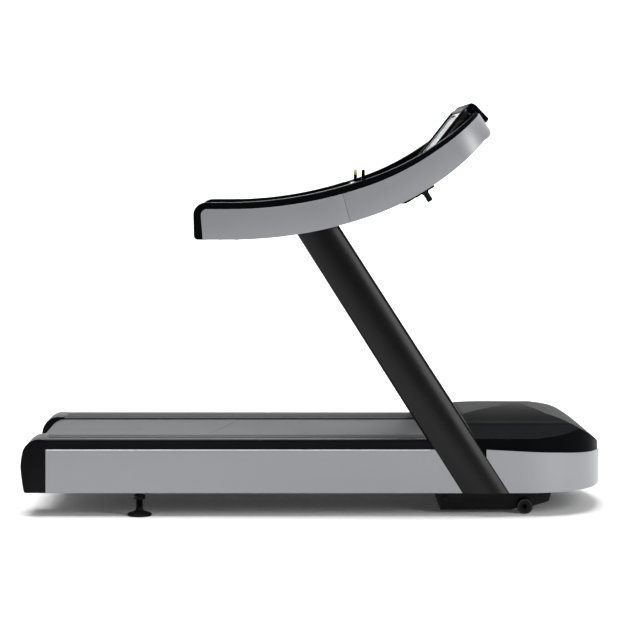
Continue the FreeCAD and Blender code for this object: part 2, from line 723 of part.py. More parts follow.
def build_drive():
    outer = s.motor_radius
    inner = s.motor_radius - s.motor_shell
    bore = s.motor_shaft + s.running_fit
    length = motor_left - motor_right
    node("motor_housing", turned("motor_housing", [
        (bore, 0), (outer - 8, 0), (outer, 8), (outer, length - 8), (outer - 8, length), (bore, length),
        (bore, length - 14), (inner, length - 14), (inner, 14), (bore, 14)],
        (motor_x, motor_right, motor_z), *ALONG_Y))
    core = inner - 6
    fly = s.motor_radius + 14
    start = motor_right - 62
    node("motor_rotor", turned("motor_rotor", [
        (0, 0), (s.motor_shaft, 0), (s.motor_shaft, 22), (fly - 2, 22), (fly, 24), (fly, 48), (fly - 2, 50),
        (s.motor_shaft, 50), (s.motor_shaft, 62 + 60), (core, 62 + 60), (core, 62 + length - 60),
        (s.motor_shaft, 62 + length - 60), (s.motor_shaft, pulley_outer - start + 4),
        (0, pulley_outer - start + 4)],
        (motor_x, start, motor_z), *ALONG_Y))
    node("motor_pulley", turned(
        "motor_pulley", pulley_outline(s.motor_shaft, s.motor_pulley_radius, s.pulley_width, False),
        (motor_x, pulley_inner, motor_z), *ALONG_Y))

    plate = box("motor_plate", (180, 300, 6), (motor_x - 90, -160, cross_top))
    ear_notch = box("plate_notch", (50, 72, 20), (motor_x - 98, -36, cross_top - 2))
    saddles = []
    for number, y in enumerate((-130, 100)):
        saddles.append(box(f"saddle_{number}", (110, 12, motor_z - cross_top - 30), (motor_x - 55, y, cross_top + 5)))
    seat = cylinder("saddle_seat", s.motor_radius, 400, (motor_x, -200, motor_z), *ALONG_Y)
    node("motor_bracket", cut("motor_bracket", fuse("bracket_blank", plate, *saddles), seat, ear_notch))

    control_x = nose - 118
    case = box("controller_case", (66, 420, 82), (control_x, -210, frame_bottom + 6))
    fins = []
    for number in range(9):
        fins.append(box(f"fin_{number}", (60, 4, 20), (control_x + 3, -164 + number * 41, frame_bottom + 87)))
    node("drive_controller", fuse("drive_controller", case, *fins))

    inlet_x = nose - 45
    inlet_z = s.floor_gap + 22
    shell = box("inlet_shell", (35, 100, 44), (inlet_x, -50, inlet_z))
    socket = box("inlet_socket", (22, 44, 26), (inlet_x + 14, -42, inlet_z + 9))
    window = box("inlet_window", (31, 22, 32), (inlet_x + 5, 16, inlet_z + 6))
    pins = []
    for number, (y, z) in enumerate(((-30, 4), (-20, -4), (-10, 4))):
        pins.append(box(f"inlet_pin_{number}", (16, 2, 5), (inlet_x + 13, y - 1, inlet_z + 19.5 + z)))
    node("power_inlet", fuse("power_inlet", cut("inlet_case", shell, socket, window), *pins))
    disc = cylinder("rocker_disc", 15, 21, (inlet_x + 24, 16.5, inlet_z + 22), *ALONG_Y)
    dish = cylinder("rocker_dish", 40, 25, (inlet_x + 24 + 48, 15, inlet_z + 22), *ALONG_Y)
    node("power_switch", cut("power_switch", disc, dish))


# ---------------------------------------------------------------- base covers

NOSE_CORNER = 306        # plan radius where the sides turn into the nose
NOSE_BOW = 750           # plan radius of the nose itself


def nose_plan(inset, rear):
    """Plan outline of the base's front end, closed across at the rear."""
    half = panel_face - inset
    corner_x = nose - 39.4 - inset * 0.95
    turn_x = nose - 329
    wide = panel_face - 208 - inset * 0.32
    return [(rear, -half), (turn_x, -half, NOSE_CORNER - inset), (corner_x, -wide, NOSE_BOW - inset),
            (corner_x, wide, NOSE_CORNER - inset), (turn_x, half), (rear, half)]


def build_base_covers():
    slots = {}
    for side, sign in SIDES:
        slots[side] = post_loft(f"post_slot_{side}", post_y * sign, s.post_slot_gap)
    foot_mid = post_foot_x
    top_mid = post_foot_x - s.post_lean * (s.panel_height / (post_top_z - s.floor_gap))
    for side, sign in SIDES:
        panel = pad(f"panel_plate_{side}", "XZ_Plane",
                    [[(cap_front, s.floor_gap), (foot_mid, s.floor_gap), (top_mid, panel_top), (cap_front, panel_top)]],
                    s.panel_wall, (0, span(sign, panel_face - s.panel_wall, panel_face), 0))
        node(f"side_panel_{side}", cut(f"side_panel_{side}", panel, slots[side]))
        build_foot_rail(side, sign, slots[side])
        build_rear_cap(side, sign)
    build_treads()

    ring = pad("shroud_outer", "XY_Plane", [nose_plan(as_size(0), foot_mid + 2)], s.panel_height, (0, 0, s.floor_gap))
    core = pad("shroud_inner", "XY_Plane", [nose_plan(s.panel_wall, foot_mid - 10)], s.panel_height + 2,
               (0, 0, s.floor_gap - 1))
    brow = pad("shroud_brow", "XZ_Plane", [[
        (top_mid - 60, panel_top + 5), (post_foot_x - 8, panel_top), (nose - 203, panel_top - 15),
        (nose - 60, panel_top - 27, -90), (nose + 5, panel_top - 55), (nose + 5, panel_top + 5)]],
        s.overall_width, symmetric=True)
    rear_wedge = pad("shroud_rear", "XZ_Plane", [[
        (foot_mid - 20, s.floor_gap - 1), (foot_mid, s.floor_gap - 1), (foot_mid + 4, s.floor_gap),
        (top_mid + 4, panel_top + 2), (foot_mid - 20, panel_top + 2)]],
        s.overall_width, symmetric=True)
    port = box("shroud_port", (60, 101, 45), (nose - 50, -50.5, s.floor_gap + 21.5))
    node("front_shroud", cut("front_shroud", ring, core, brow, rear_wedge, port, slots["left"], slots["right"]))
    build_motor_hood(slots)

    pan_half = frame_inner - 12
    pan = box("pan_sheet", (nose - 85 - (cross_x("motor_rear") - 20), pan_half * 2, 3),
              (cross_x("motor_rear") - 20, -pan_half, frame_bottom - 6))
    holes = [cylinder(f"pan_hole_{number}", 2, 5, (x, y, frame_bottom - 7))
             for number, (x, y) in enumerate(pan_screw_places())]
    node("belly_pan", cut("belly_pan", pan, *holes))


def build_foot_rail(side, sign, slot):
    """Folded rail cover: outer skirt, sloping tread surface, inner lip beside the belt."""
    outer = panel_face - 2
    wall = s.rail_wall
    low = panel_top
    lip_low = deck_top + 1.5
    corner = as_size(8)
    inside = corner - wall
    outline = [
        (lip, lip_low), (lip + wall, lip_low), (lip + wall, rail_top - s.rail_fall - wall),
        (outer - corner, rail_top - wall, -inside), (outer - wall, rail_top - corner), (outer - wall, low),
        (outer, low), (outer, rail_top - corner, corner), (outer - corner, rail_top),
        (lip + 3, rail_top - s.rail_fall, 3), (lip, rail_top - s.rail_fall - 3)]
    if sign < 0:
        outline = mirrored(outline)
    rail = pad(f"rail_fold_{side}", "YZ_Plane", [outline], rail_end - cap_front, (cap_front, 0, 0))
    node(f"foot_rail_{side}", cut(f"foot_rail_{side}", rail, slot))


def mirrored(outline):
    """The same outline on the other side of the middle plane, running the same way round."""
    count = len(outline)
    result = []
    for index in range(count - 1, -1, -1):
        point = outline[index]
        previous = outline[(index - 1) % count]
        result.append((-as_size(point[0]), point[1], previous[2] if len(previous) > 2 else None))
    return result


def build_treads():
    """Ribbed rubber inlays on the foot rails, one each side."""
    ribs = 12
    inner = lip + 24
    outer = post_outer - s.post_depth - 6
    pitch = (outer - inner) / ribs
    fall = s.rail_fall / (panel_face - 2 - 8 - lip - 3)
    base = rail_top - s.rail_fall

    def level(y):
        return base + (y - lip - 3) * fall

    outline = [(inner, level(inner)), (outer, level(outer)), (outer, level(outer) + 0.8)]
    for number in range(ribs - 1, -1, -1):
        start = inner + pitch * number
        for share, height in ((0.8, 1.8), (0.35, 1.8), (0.15, 0.8)):
            y = start + pitch * share
            outline.append((y, level(y) + height))
    outline.append((inner, level(inner) + 0.8))
    inlays = []
    for side, sign in SIDES:
        loop = outline if sign > 0 else mirrored(outline)
        inlays.append(pad(f"tread_{side}", "YZ_Plane", [loop], rail_end - cap_front - 60, (cap_front + 6, 0, 0)))
    node("foot_treads", group("foot_treads", *inlays))


def build_rear_cap(side, sign):
    """Moulded end cap: bulged rear face, rounded top, open to the front where the rail meets it."""
    outer = panel_face - 1

    def block(name, wall):
        front = cap_front if wall.number == 0 else cap_front + 1
        outline = [
            (front, s.floor_gap + wall), (front, rail_top - wall), (cap_front - 14, rail_top - wall, 66 - wall),
            (tail + 6 + wall, rail_top - 52, 330 - wall), (tail + wall, s.floor_gap + 96, 700 - wall),
            (tail + 12 + wall, s.floor_gap + 8 + wall, 9), (tail + 21 + wall, s.floor_gap + wall)]
        return pad(name, "XZ_Plane", [outline], outer - lip - wall * 2,
                   (0, span(sign, lip + wall, outer - wall), 0))

    roller_space = cylinder(f"cap_roller_space_{side}", belt_radius + s.belt_thickness + 3, 20,
                            (rear_roller_x, lip - 10 if sign > 0 else -lip - 10, roller_z), *ALONG_Y)
    node(f"rear_cap_{side}", cut(f"rear_cap_{side}", block(f"cap_outside_{side}", as_size(0)),
                                 block(f"cap_inside_{side}", s.cap_wall), roller_space))


def hood_block(name, inset):
    """Solid of the motor hood, pulled in all round by an amount: side, plan and end views in common."""
    top = rail_top + s.hood_rise - inset
    closed = inset.number == 0
    low = panel_top - 62 if closed else panel_top - 69
    over_rail = rail_top + 2 if closed else low + 1
    side_view = pad(f"{name}_side", "XZ_Plane", [[
        (hood_rear + inset, over_rail), (rail_end + 2, over_rail), (rail_end + 2, low), (nose - 5 - inset, low),
        (nose - 6 - inset, panel_top - 34, 70), (nose - 30 - inset, panel_top + 7 - inset, 400),
        (nose - 225, top - 18, 260), (nose - 300, top, 1500), (nose - 530, top - 17, 30),
        (nose - 553 + inset, top - 34)]],
        s.overall_width, symmetric=True)
    skirt = s.panel_wall + 1.5 + inset
    plan = pad(f"{name}_plan", "XY_Plane", [nose_plan(skirt, hood_rear - 20)], 400, (0, 0, panel_top - 70))
    half = panel_face - skirt
    end_view = pad(f"{name}_end", "YZ_Plane", [[
        (-half, panel_top - 70), (half, panel_top - 70), (half, rail_top + 2 - inset),
        (half - 112, rail_top + 38 - inset, 90), (half - 150, rail_top + 49 - inset, 1140),
        (-half + 150, rail_top + 49 - inset, 90), (-half + 112, rail_top + 38 - inset),
        (-half, rail_top + 2 - inset)]],
        700, (hood_rear - 50, 0, 0))
    return common(f"{name}_solid", side_view, plan, end_view)


def build_motor_hood(slots):
    outer = hood_block("hood_outer", as_size(0))
    inner = hood_block("hood_inner", s.hood_wall)
    node("motor_hood", cut("motor_hood", outer, inner, slots["left"], slots["right"]))


def build_posts():
    envelope = pad("arm_envelope", "XZ_Plane", [arm_outline], s.overall_width + 20, symmetric=True)
    for side, sign in SIDES:
        outer = post_loft(f"post_outer_{side}", post_y * sign, as_size(0))
        inner = post_loft(f"post_inner_{side}", post_y * sign, -s.post_wall)
        node(f"post_{side}", cut(f"post_{side}", outer, inner, envelope))


# ---------------------------------------------------------------- console

def console_point(x, z, radius=None):
    return (arm_x + x, arm_z + z, radius)


console_half = arm_face - s.arm_width - 0.5
TRAY_TILT = 12.3
tray_x = arm_x + 674
tray_z = arm_z + 205
DISPLAY_TILT = 52
display_x = arm_x + 871
display_z = arm_z + 290
face_x = math.cos(math.radians(DISPLAY_TILT))
face_z = math.sin(math.radians(DISPLAY_TILT))


def tray_place(x, height):
    """A point x along the sloping tray and some height above it."""
    slope_cos = math.cos(math.radians(TRAY_TILT))
    slope_sin = math.sin(math.radians(TRAY_TILT))
    return (tray_x + x * slope_cos - height * slope_sin, tray_z + x * slope_sin + height * slope_cos)


def face_place(x, height):
    """A point x up the display and some height above its face."""
    return (display_x + x * face_x - height * face_z, display_z + x * face_z + height * face_x)


CUP_X = 78
CUP_Y = 105       # bottle holder centre from the arm
KEYS = (("key_speed_up", -1, 0), ("key_speed_down", -1, 1), ("key_incline_up", 1, 0), ("key_incline_down", 1, 1))


def key_place(sign, row):
    """Middle of a key on the tray: along it and across."""
    return (92 - row * (s.key_width.number + 12), sign * 84)


def build_console():
    back_low = face_place(0, -s.display_depth)
    back_high = face_place(s.display_length, -s.display_depth)
    riser_top = face_place(0, -3)
    outline = [
        console_point(674, 182), console_point(690, 128), console_point(792, 132, 300),
        console_point(880, 200), console_point(975, 282, 1100), console_point(1062, 366, 46),
        console_point(1095, 408), console_point(1058, 464), (back_high[0], back_high[1] - 1.5),
        (back_low[0], back_low[1] - 0.5), (riser_top[0], riser_top[1] - 0.5),
        (tray_place(152, 0)[0], tray_place(152, 0)[1]), (tray_x, tray_z)]
    blank = pad("console_blank", "XZ_Plane", [outline], console_half * 2, symmetric=True)
    hollow(blank, s.console_wall, [Vector(0, 1, 0), Vector(0, -1, 0)])
    holes = []
    cups = []
    for side, sign in SIDES:
        y = (console_half - CUP_Y) * sign
        x, z = tray_place(CUP_X, -30)
        holes.append(cylinder(f"cup_hole_{side}", s.cup_radius + 0.5, 60, (x, y, z), AXIS_Y, -TRAY_TILT))
        x, z = tray_place(CUP_X, 3 - s.cup_depth)
        inside = s.cup_radius - s.cup_wall
        cups.append(turned(f"cup_{side}", [
            (0, 0), (s.cup_radius - 6, 0, 6), (s.cup_radius, 6), (s.cup_radius, s.cup_depth - 3),
            (s.cup_radius + 6, s.cup_depth - 3), (s.cup_radius + 5, s.cup_depth), (inside + 1, s.cup_depth),
            (inside, s.cup_depth - 1), (inside, 6 + s.cup_wall, -5), (inside - 5, s.cup_wall), (0, s.cup_wall)],
            (x, y, z), AXIS_Y, -TRAY_TILT))
    for name, sign, row in KEYS:
        along, across = key_place(sign, row)
        x, z = tray_place(along - s.key_width / 2 - s.key_gap, -12)
        holes.append(box(f"{name}_hole", (s.key_width + s.key_gap * 2, s.key_length + s.key_gap * 2, 24),
                         (x, across - s.key_length / 2 - s.key_gap, z), AXIS_Y, -TRAY_TILT))
        x, z = tray_place(along - s.key_width / 2, -8)
        node(name, pad(name, "XY_Plane", [rounded(0, 0, s.key_width, s.key_length, 4)], 11,
                       (x, across - s.key_length / 2, z), AXIS_Y, -TRAY_TILT))
    x, z = tray_place(STOP_X, -14)
    holes.append(cylinder("stop_hole", 9 + s.key_gap, 28, (x, 0, z), AXIS_Y, -TRAY_TILT))
    node("console_housing", cut("console_housing", blank, *holes))
    node("bottle_holders", group("bottle_holders", *cups))
    node("stop_button", turned("stop_button", [
        (0, 0), (9, 0), (9, 23), (s.stop_radius - 2, 23), (s.stop_radius, 25), (s.stop_radius, 31, 60),
        (s.stop_radius * 0.6, 35.5, 80), (2, 37), (0, 37)], (x, 0, z), AXIS_Y, -TRAY_TILT))
    build_display()
    build_console_hood()


STOP_X = 36


def build_display():
    half = s.display_width / 2
    edge = s.display_border
    x, z = face_place(0, -s.display_depth)
    tilt = (AXIS_Y, -DISPLAY_TILT)
    node("display_bezel", pad("display_bezel", "XY_Plane", [
        rounded(0, -half, s.display_length, half, 14),
        rounded(edge, edge - half, s.display_length - edge, half - edge, 6)],
        s.display_depth, (x, 0, z), *tilt))
    x, z = face_place(0, -2 - s.glass_depth)
    node("display_screen", pad("display_screen", "XY_Plane", [
        rounded(edge, edge - half, s.display_length - edge, half - edge, 6)],
        s.glass_depth, (x, 0, z), *tilt))
    trims = []
    for side, sign in SIDES:
        trims.append(pad(f"trim_{side}", "XZ_Plane", [[
            (6, -19), (s.display_length - 41, -19), (s.display_length - 62, -5), (6, -5)]],
            4, (display_x, span(sign, half, half + 4), display_z), *tilt))
    node("console_trims", group("console_trims", *trims))


def build_console_hood():
    """Top hood: from behind the glass, over the crown and down in front of the silver front band."""
    outline = [
        console_point(1100, 435), console_point(1110, 451), console_point(1063, 501, 46),
        console_point(1041, 511, 90), console_point(1025, 492),
        (face_place(s.display_length, -s.display_depth)[0], face_place(s.display_length, -s.display_depth)[1] + 1),
        console_point(1060, 481), console_point(1066, 477)]
    node("console_hood", pad("console_hood", "XZ_Plane", [outline], s.display_width + 20, symmetric=True))


def build_grab_bar():
    x = arm_x + 617
    z = arm_z + 192
    half = console_half + 0.4
    node("grab_bar", cylinder("grab_bar", s.grab_radius, half * 2, (x, -half, z), *ALONG_Y))
    sleeves = []
    for side, sign in SIDES:
        sleeves.append(turned(f"sensor_{side}", [
            (s.grab_radius + 0.1, -60), (s.grab_radius + 1.2, -60), (s.grab_radius + 1.6, -58),
            (s.grab_radius + 1.6, 58), (s.grab_radius + 1.2, 60), (s.grab_radius + 0.1, 60)],
            (x, 150 * sign, z), *ALONG_Y))
    node("pulse_sensors", group("pulse_sensors", *sleeves))


def build_accessory_hook():
    """Plate and peg under the right-hand arm."""
    tilt = 31.4
    slope_cos = math.cos(math.radians(tilt))
    slope_sin = math.sin(math.radians(tilt))
    middle_x = arm_x + 856
    middle_z = arm_z + 181.5
    y = -(arm_face - s.arm_width / 2)

    def down(x, depth):
        return (middle_x + x * slope_cos + depth * slope_sin, middle_z + x * slope_sin - depth * slope_cos)

    x, z = down(-40, 7)
    plate = box("hook_plate", (80, 60, 7), (x, y - 30, z), AXIS_Y, -tilt)
    x, z = down(0, 46)
    peg = turned("hook_peg", [(0, 0), (7, 0, 4), (11, 4), (11, 32), (16, 40), (0, 40)], (x, y, z), AXIS_Y, -tilt)
    node("accessory_hook", fuse("accessory_hook", plate, peg))


# ---------------------------------------------------------------- lift frame, wheels and actuator

wheel_x = nose - 325
wheel_z = s.lift_wheel_radius
lift_x = wheel_x - s.lift_reach
lift_z = as_size(52)
lift_ear_inner = frame_outer - 22
plate_inner = frame_outer - 8
MAX_LIFT = 25
rod_pin = (lift_x + 256, lift_z + 14)


def rod_line():
    """Direction that the actuator pin travels in, from rest to full lift, and the actuator's top."""
    turn = math.radians(MAX_LIFT)
    dx = 256 * (math.cos(turn) - 1) + 14 * math.sin(turn)
    dz = -256 * math.sin(turn) + 14 * (math.cos(turn) - 1)
    length = math.hypot(dx, dz)
    return dx / length, dz / length, length


rod_dx, rod_dz, rod_stroke = rod_line()
# The pin's path is an arc, so the rod's eye sits half the arc's rise ahead of the pin.
EYE_SHIFT = 3.0
eye = (rod_pin[0] - rod_dz * EYE_SHIFT, rod_pin[1] + rod_dx * EYE_SHIFT)
rod_tilt = math.degrees(math.atan2(rod_dx, rod_dz)) - 180
actuator_top = (eye[0] - rod_dx * 215, eye[1] - rod_dz * 215)


def build_lift():
    plates = []
    for side, sign in SIDES:
        outline = [
            (lift_x - 43, lift_z + 30), (lift_x - 18, lift_z - 40), (lift_x + 246, lift_z - 40),
            (wheel_x - 22, wheel_z - 8), (wheel_x + 16, wheel_z - 8), (wheel_x + 92, lift_z - 8),
            (wheel_x + 104, lift_z + 30)]
        plate = pad(f"lift_plate_{side}", "XZ_Plane", [outline], s.lift_plate,
                    (0, span(sign, plate_inner, plate_inner + s.lift_plate), 0))
        bore = cylinder(f"lift_bore_{side}", s.lift_pin + s.running_fit, 40,
                        (lift_x, plate_inner - 10 if sign > 0 else -plate_inner - 30, lift_z), *ALONG_Y)
        plates.append(cut(f"lift_side_{side}", plate, bore))
        start = plate_inner + s.lift_plate - 1
        stub = s.lift_wheel_width + 9
        plates.append(cylinder(f"lift_axle_{side}", 8, stub,
                               (wheel_x, start if sign > 0 else -start - stub, wheel_z), *ALONG_Y))
        plates.append(pad(f"rod_ear_{side}", "XZ_Plane",
                          [[(-10, -10), (40, -22), (40, 4), (4, 11), (-8, 8)]], 6,
                          (rod_pin[0], span(sign, as_size(17), as_size(23)), rod_pin[1])))
    plates.append(cylinder("lift_bar", 13, plate_inner * 2 + 2,
                           (rod_pin[0] + 40, -plate_inner - 1, rod_pin[1] - 10), *ALONG_Y))
    plates.append(cylinder("rod_pin", 6, 46, (rod_pin[0], -23, rod_pin[1]), *ALONG_Y))
    node("lift_frame", fuse("lift_frame", *plates))
    for side, sign in SIDES:
        start = plate_inner + s.lift_plate + 3
        y = start if sign > 0 else -start - s.lift_wheel_width
        bore = 8 + s.running_fit
        rim = s.lift_wheel_radius
        width = s.lift_wheel_width
        node(f"lift_wheel_{side}", turned(f"lift_wheel_{side}", [
            (bore, 0), (bore + 6, 0), (bore + 6, 3), (rim - 7, 3), (rim - 7, 0), (rim - 3, 0, 3), (rim, 3),
            (rim, width - 3, 3), (rim - 3, width), (rim - 7, width), (rim - 7, width - 3), (bore + 6, width - 3),
            (bore + 6, width), (bore, width)], (wheel_x, y, wheel_z), *ALONG_Y))
    build_actuator()


def along_rod(distance):
    """A point up the actuator from the rod's eye."""
    return (eye[0] - rod_dx * distance, 0, eye[1] - rod_dz * distance)


def build_actuator():
    bore = s.rod_radius + s.running_fit
    tube = turned("actuator_tube", [
        (bore, 45), (18, 45), (21, 48), (21, 178), (bore, 178)], along_rod(0), AXIS_Y, rod_tilt)
    x, y, z = along_rod(150)
    gearbox = box("actuator_gearbox", (40, 112, 30), (x - 28, -23.8, z), AXIS_Y, rod_tilt)
    bore_tool = cylinder("actuator_bore", bore, 190, along_rod(5), AXIS_Y, rod_tilt)
    motor_at = along_rod(48)
    motor = cylinder("actuator_motor", 26, 105, (motor_at[0], 58, motor_at[2]), AXIS_Y, rod_tilt)
    lug_at = along_rod(178)
    lug = box("actuator_lug", (24, 47.6, 50), (lug_at[0] - 12, -23.8, lug_at[2]), AXIS_Y, rod_tilt)
    node("lift_actuator", cut("lift_actuator", fuse("actuator_blank", tube, gearbox, motor, lug), bore_tool))
    rod = cylinder("rod_bar", s.rod_radius, 172, along_rod(6), AXIS_Y, rod_tilt)
    ring = cylinder("rod_ring", 15, 30, (eye[0], -15, eye[1]), *ALONG_Y)
    hole = cylinder("rod_hole", 9.5, 32, (eye[0], -16, eye[1]), *ALONG_Y)
    node("lift_rod", cut("lift_rod", fuse("rod_blank", rod, ring), hole))


# ---------------------------------------------------------------- levelling feet and screws

foot_x = tail + s.foot_setback
foot_y = panel_face - s.foot_pad_radius + 15


def build_feet():
    pad_r = s.foot_pad_radius
    stud = s.foot_stud_radius
    for side, sign in SIDES:
        node(f"rear_foot_{side}", turned(f"rear_foot_{side}", [
            (0, 0), (pad_r - 2, 0), (pad_r, 2), (pad_r, 7), (pad_r - 4, 10), (stud + 8, 17, -12),
            (stud + 2, 30), (stud, 32), (stud, frame_bottom + 52), (0, frame_bottom + 52)],
            (foot_x, foot_y * sign, 0)))


def pan_screw_places():
    return [(cross_x("motor_rear") + number * 62, (frame_inner - 28) * sign)
            for _, sign in SIDES for number in range(4)]


def build_screws():
    """Pan-head screws that hold the belly pan, and the two belt tension bolts at the rear."""
    heads = []
    for number, (x, y) in enumerate(pan_screw_places()):
        heads.append(turned(f"pan_screw_{number}", [
            (0, -3), (3, -3, 3), (6, -0.5), (6, 0), (2, 0), (2, 4), (0, 4)], (x, y, frame_bottom - 6)))
    node("pan_screws", group("pan_screws", *heads))
    bolts = []
    for side, sign in SIDES:
        y = (frame_inner + s.frame_width / 2) * sign
        bolts.append(turned(f"tension_bolt_{side}", [
            (0, 0), (9, 0), (9, 7), (5, 7), (5, 40), (0, 40)],
            (rear_roller_x - s.shaft_radius - 40, y, roller_z), *ALONG_X))
    node("tension_bolts", group("tension_bolts", *bolts))


# ---------------------------------------------------------------- build, check, write

def checked():
    """Recomputes the document and stops on any failed object or shape."""
    doc.recompute()
    failed = [obj.Label for obj in doc.Objects if "Invalid" in obj.State or "Error" in obj.State]
    for name, obj in nodes.items():
        shape = obj.Shape
        if shape.isNull() or not shape.isValid() or not shape.Solids:
            failed.append(name)
    if failed:
        raise RuntimeError("failed: " + ", ".join(failed))


def write_parts():
    os.makedirs("parts", exist_ok=True)
    for name, obj in nodes.items():
        obj.Shape.exportStep(f"parts/{name}.step")


build_arms()
build_levers()
build_posts()
build_chassis()
build_base_covers()
build_running_gear()
build_drive()
build_console()
build_grab_bar()
build_accessory_hook()
build_lift()
build_feet()
build_screws()
checked()
write_parts()
print(len(nodes), "nodes written")
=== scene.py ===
import json
import math

import bmesh
import bpy
from mathutils import Matrix, Vector


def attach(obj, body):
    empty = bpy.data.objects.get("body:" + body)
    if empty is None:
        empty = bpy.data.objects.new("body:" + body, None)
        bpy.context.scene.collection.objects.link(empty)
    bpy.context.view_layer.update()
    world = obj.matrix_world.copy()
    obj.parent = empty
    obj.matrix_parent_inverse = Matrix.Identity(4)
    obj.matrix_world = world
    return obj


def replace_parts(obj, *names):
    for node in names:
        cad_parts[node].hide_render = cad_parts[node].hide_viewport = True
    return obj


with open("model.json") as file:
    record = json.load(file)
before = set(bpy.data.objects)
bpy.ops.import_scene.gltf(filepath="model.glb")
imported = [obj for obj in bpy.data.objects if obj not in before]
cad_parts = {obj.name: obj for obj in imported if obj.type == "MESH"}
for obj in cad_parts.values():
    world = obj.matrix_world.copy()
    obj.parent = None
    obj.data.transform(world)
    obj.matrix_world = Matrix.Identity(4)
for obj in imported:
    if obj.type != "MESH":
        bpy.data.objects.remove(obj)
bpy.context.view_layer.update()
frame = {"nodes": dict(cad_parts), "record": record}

MM = 0.001
SIDES = (("left", 1), ("right", -1))

# Stations of the machine, in metres.
PANEL_FACE = 0.448       # outer face of the side panels, from the middle
PANEL_TOP = 0.248
PANEL_REAR = -1.004      # ends of the straight top edge of a side panel
PANEL_FRONT = 0.418
BELT_TOP = 0.276
BELT_HALF = 0.258        # half the width of the running belt that shows
TRAY = (0.215, 1.230, math.radians(12.3))      # x, z and slope of the console tray
GLASS = (0.412, 1.315, math.radians(52))       # x, z and slope of the display
LEVER = (0.172, 0.388, 1.237)
WHEEL = (0.775, 0.3755, 0.029)
WHEEL_HALF_WIDTH = 0.0125
AXLE_END = 0.3885        # outer end of the wheel axle, from the middle
FOOT = (-0.660, 0.418)
STUD_RADIUS = 0.0108     # just inside the thread of a rear foot
ARM_UNDERSIDE = 1.0252
ARM_MIDDLE = 0.416       # middle of an arm, from the middle of the machine
KEY_COLUMN = 0.084       # keys: across, then the two rows up the tray
KEY_ROWS = (0.092, 0.054)
KEY_FACE = 0.00301       # top of a key above the tray
STOP_UP_TRAY = 0.036
MOTOR = (0.880, 0.225)
BAR_END = (0.158, 0.3612, 1.217)               # where the grab bar meets the console
SWITCH_FACE = (1.0889, 0.027, 0.139)           # upper part of the mains rocker
BOTTLE = (0.078, 0.2565)                       # bottle holder: up the tray, across
SPEAKER = (0.070, 0.165)                       # speaker: up the tray, across
GLASS_DEPTH = -0.002                           # the lit layer under the plane of the display's face


# ---------------------------------------------------------------- materials

def linear(code):
    """Linear colour with alpha from a six-digit sRGB hex code."""
    channels = [int(code[i:i + 2], 16) / 255 for i in (0, 2, 4)]
    return tuple(c / 12.92 if c <= 0.04045 else ((c + 0.055) / 1.055) ** 2.4 for c in channels) + (1.0,)


def add(tree, kind, inputs=None, **settings):
    """Adds a node; an input is a value or the socket that feeds it."""
    made = tree.nodes.new(kind)
    for key, value in settings.items():
        setattr(made, key, value)
    for name, value in (inputs or {}).items():
        if isinstance(value, bpy.types.NodeSocket):
            tree.links.new(value, made.inputs[name])
        else:
            made.inputs[name].default_value = value
    return made


def start_material(name, **shader):
    """A material with its shader and object coordinates; shader sockets are set directly."""
    material = bpy.data.materials.new(name)
    material.use_nodes = True
    tree = material.node_tree
    tree.nodes.clear()
    surface = add(tree, "ShaderNodeBsdfPrincipled", shader)
    out = add(tree, "ShaderNodeOutputMaterial")
    tree.links.new(surface.outputs[0], out.inputs["Surface"])
    where = add(tree, "ShaderNodeTexCoord").outputs["Object"]
    return material, tree, surface, where


def vary_colour(tree, surface, factor, low, high):
    """Base colour runs from one hex colour to the other with the factor."""
    mix = add(tree, "ShaderNodeMix", {"Factor": factor}, data_type="RGBA")
    mix.inputs[6].default_value = linear(low)
    mix.inputs[7].default_value = linear(high)
    tree.links.new(mix.outputs[2], surface.inputs["Base Color"])


def vary_roughness(tree, surface, factor, low, high):
    span = add(tree, "ShaderNodeMapRange", {"Value": factor, "To Min": low, "To Max": high})
    tree.links.new(span.outputs[0], surface.inputs["Roughness"])


def add_bump(tree, surface, height, strength, depth_mm):
    bump = add(tree, "ShaderNodeBump", {"Height": height, "Strength": strength, "Distance": depth_mm * MM})
    tree.links.new(bump.outputs[0], surface.inputs["Normal"])


def grain(tree, where, size_mm, detail=2.0, stretch=(1, 1, 1)):
    """Noise whose features are about this many millimetres across."""
    placed = add(tree, "ShaderNodeMapping", {"Vector": where, "Scale": stretch})
    return add(tree, "ShaderNodeTexNoise", {
        "Vector": placed.outputs[0], "Scale": 1 / (size_mm * MM), "Detail": detail}).outputs[0]


def sprayed(name, low, high, rough, flake_mm=2.0, metallic=0.0, coat=0.0, peel=0.15, gloss=0.5):
    """Sprayed paint: fine flake in the colour, slight orange peel, soft changes of gloss."""
    material, tree, surface, where = start_material(name, **{
        "Metallic": metallic, "Coat Weight": coat, "Coat Roughness": 0.25, "Specular IOR Level": gloss})
    vary_colour(tree, surface, grain(tree, where, flake_mm, 4.0), low, high)
    vary_roughness(tree, surface, grain(tree, where, 90), rough - 0.04, rough + 0.05)
    add_bump(tree, surface, grain(tree, where, 3.0), peel, 0.05)
    return material


def moulded(name, low, high, rough, grain_mm=1.6, depth_mm=0.12, strength=0.5, sheen=0.0, gloss=0.14):
    """Moulded plastic or rubber: spark-eroded grain from the tool, slightly rubbed patches."""
    material, tree, surface, where = start_material(
        name, **{"Sheen Weight": sheen, "Specular IOR Level": gloss})
    rubbed = grain(tree, where, 140, 3.0)
    vary_colour(tree, surface, rubbed, low, high)
    vary_roughness(tree, surface, rubbed, rough + 0.05, rough - 0.05)
    cells = add(tree, "ShaderNodeTexVoronoi", {"Vector": where, "Scale": 1 / (grain_mm * MM)}, feature="F1")
    add_bump(tree, surface, cells.outputs["Distance"], strength, depth_mm)
    return material


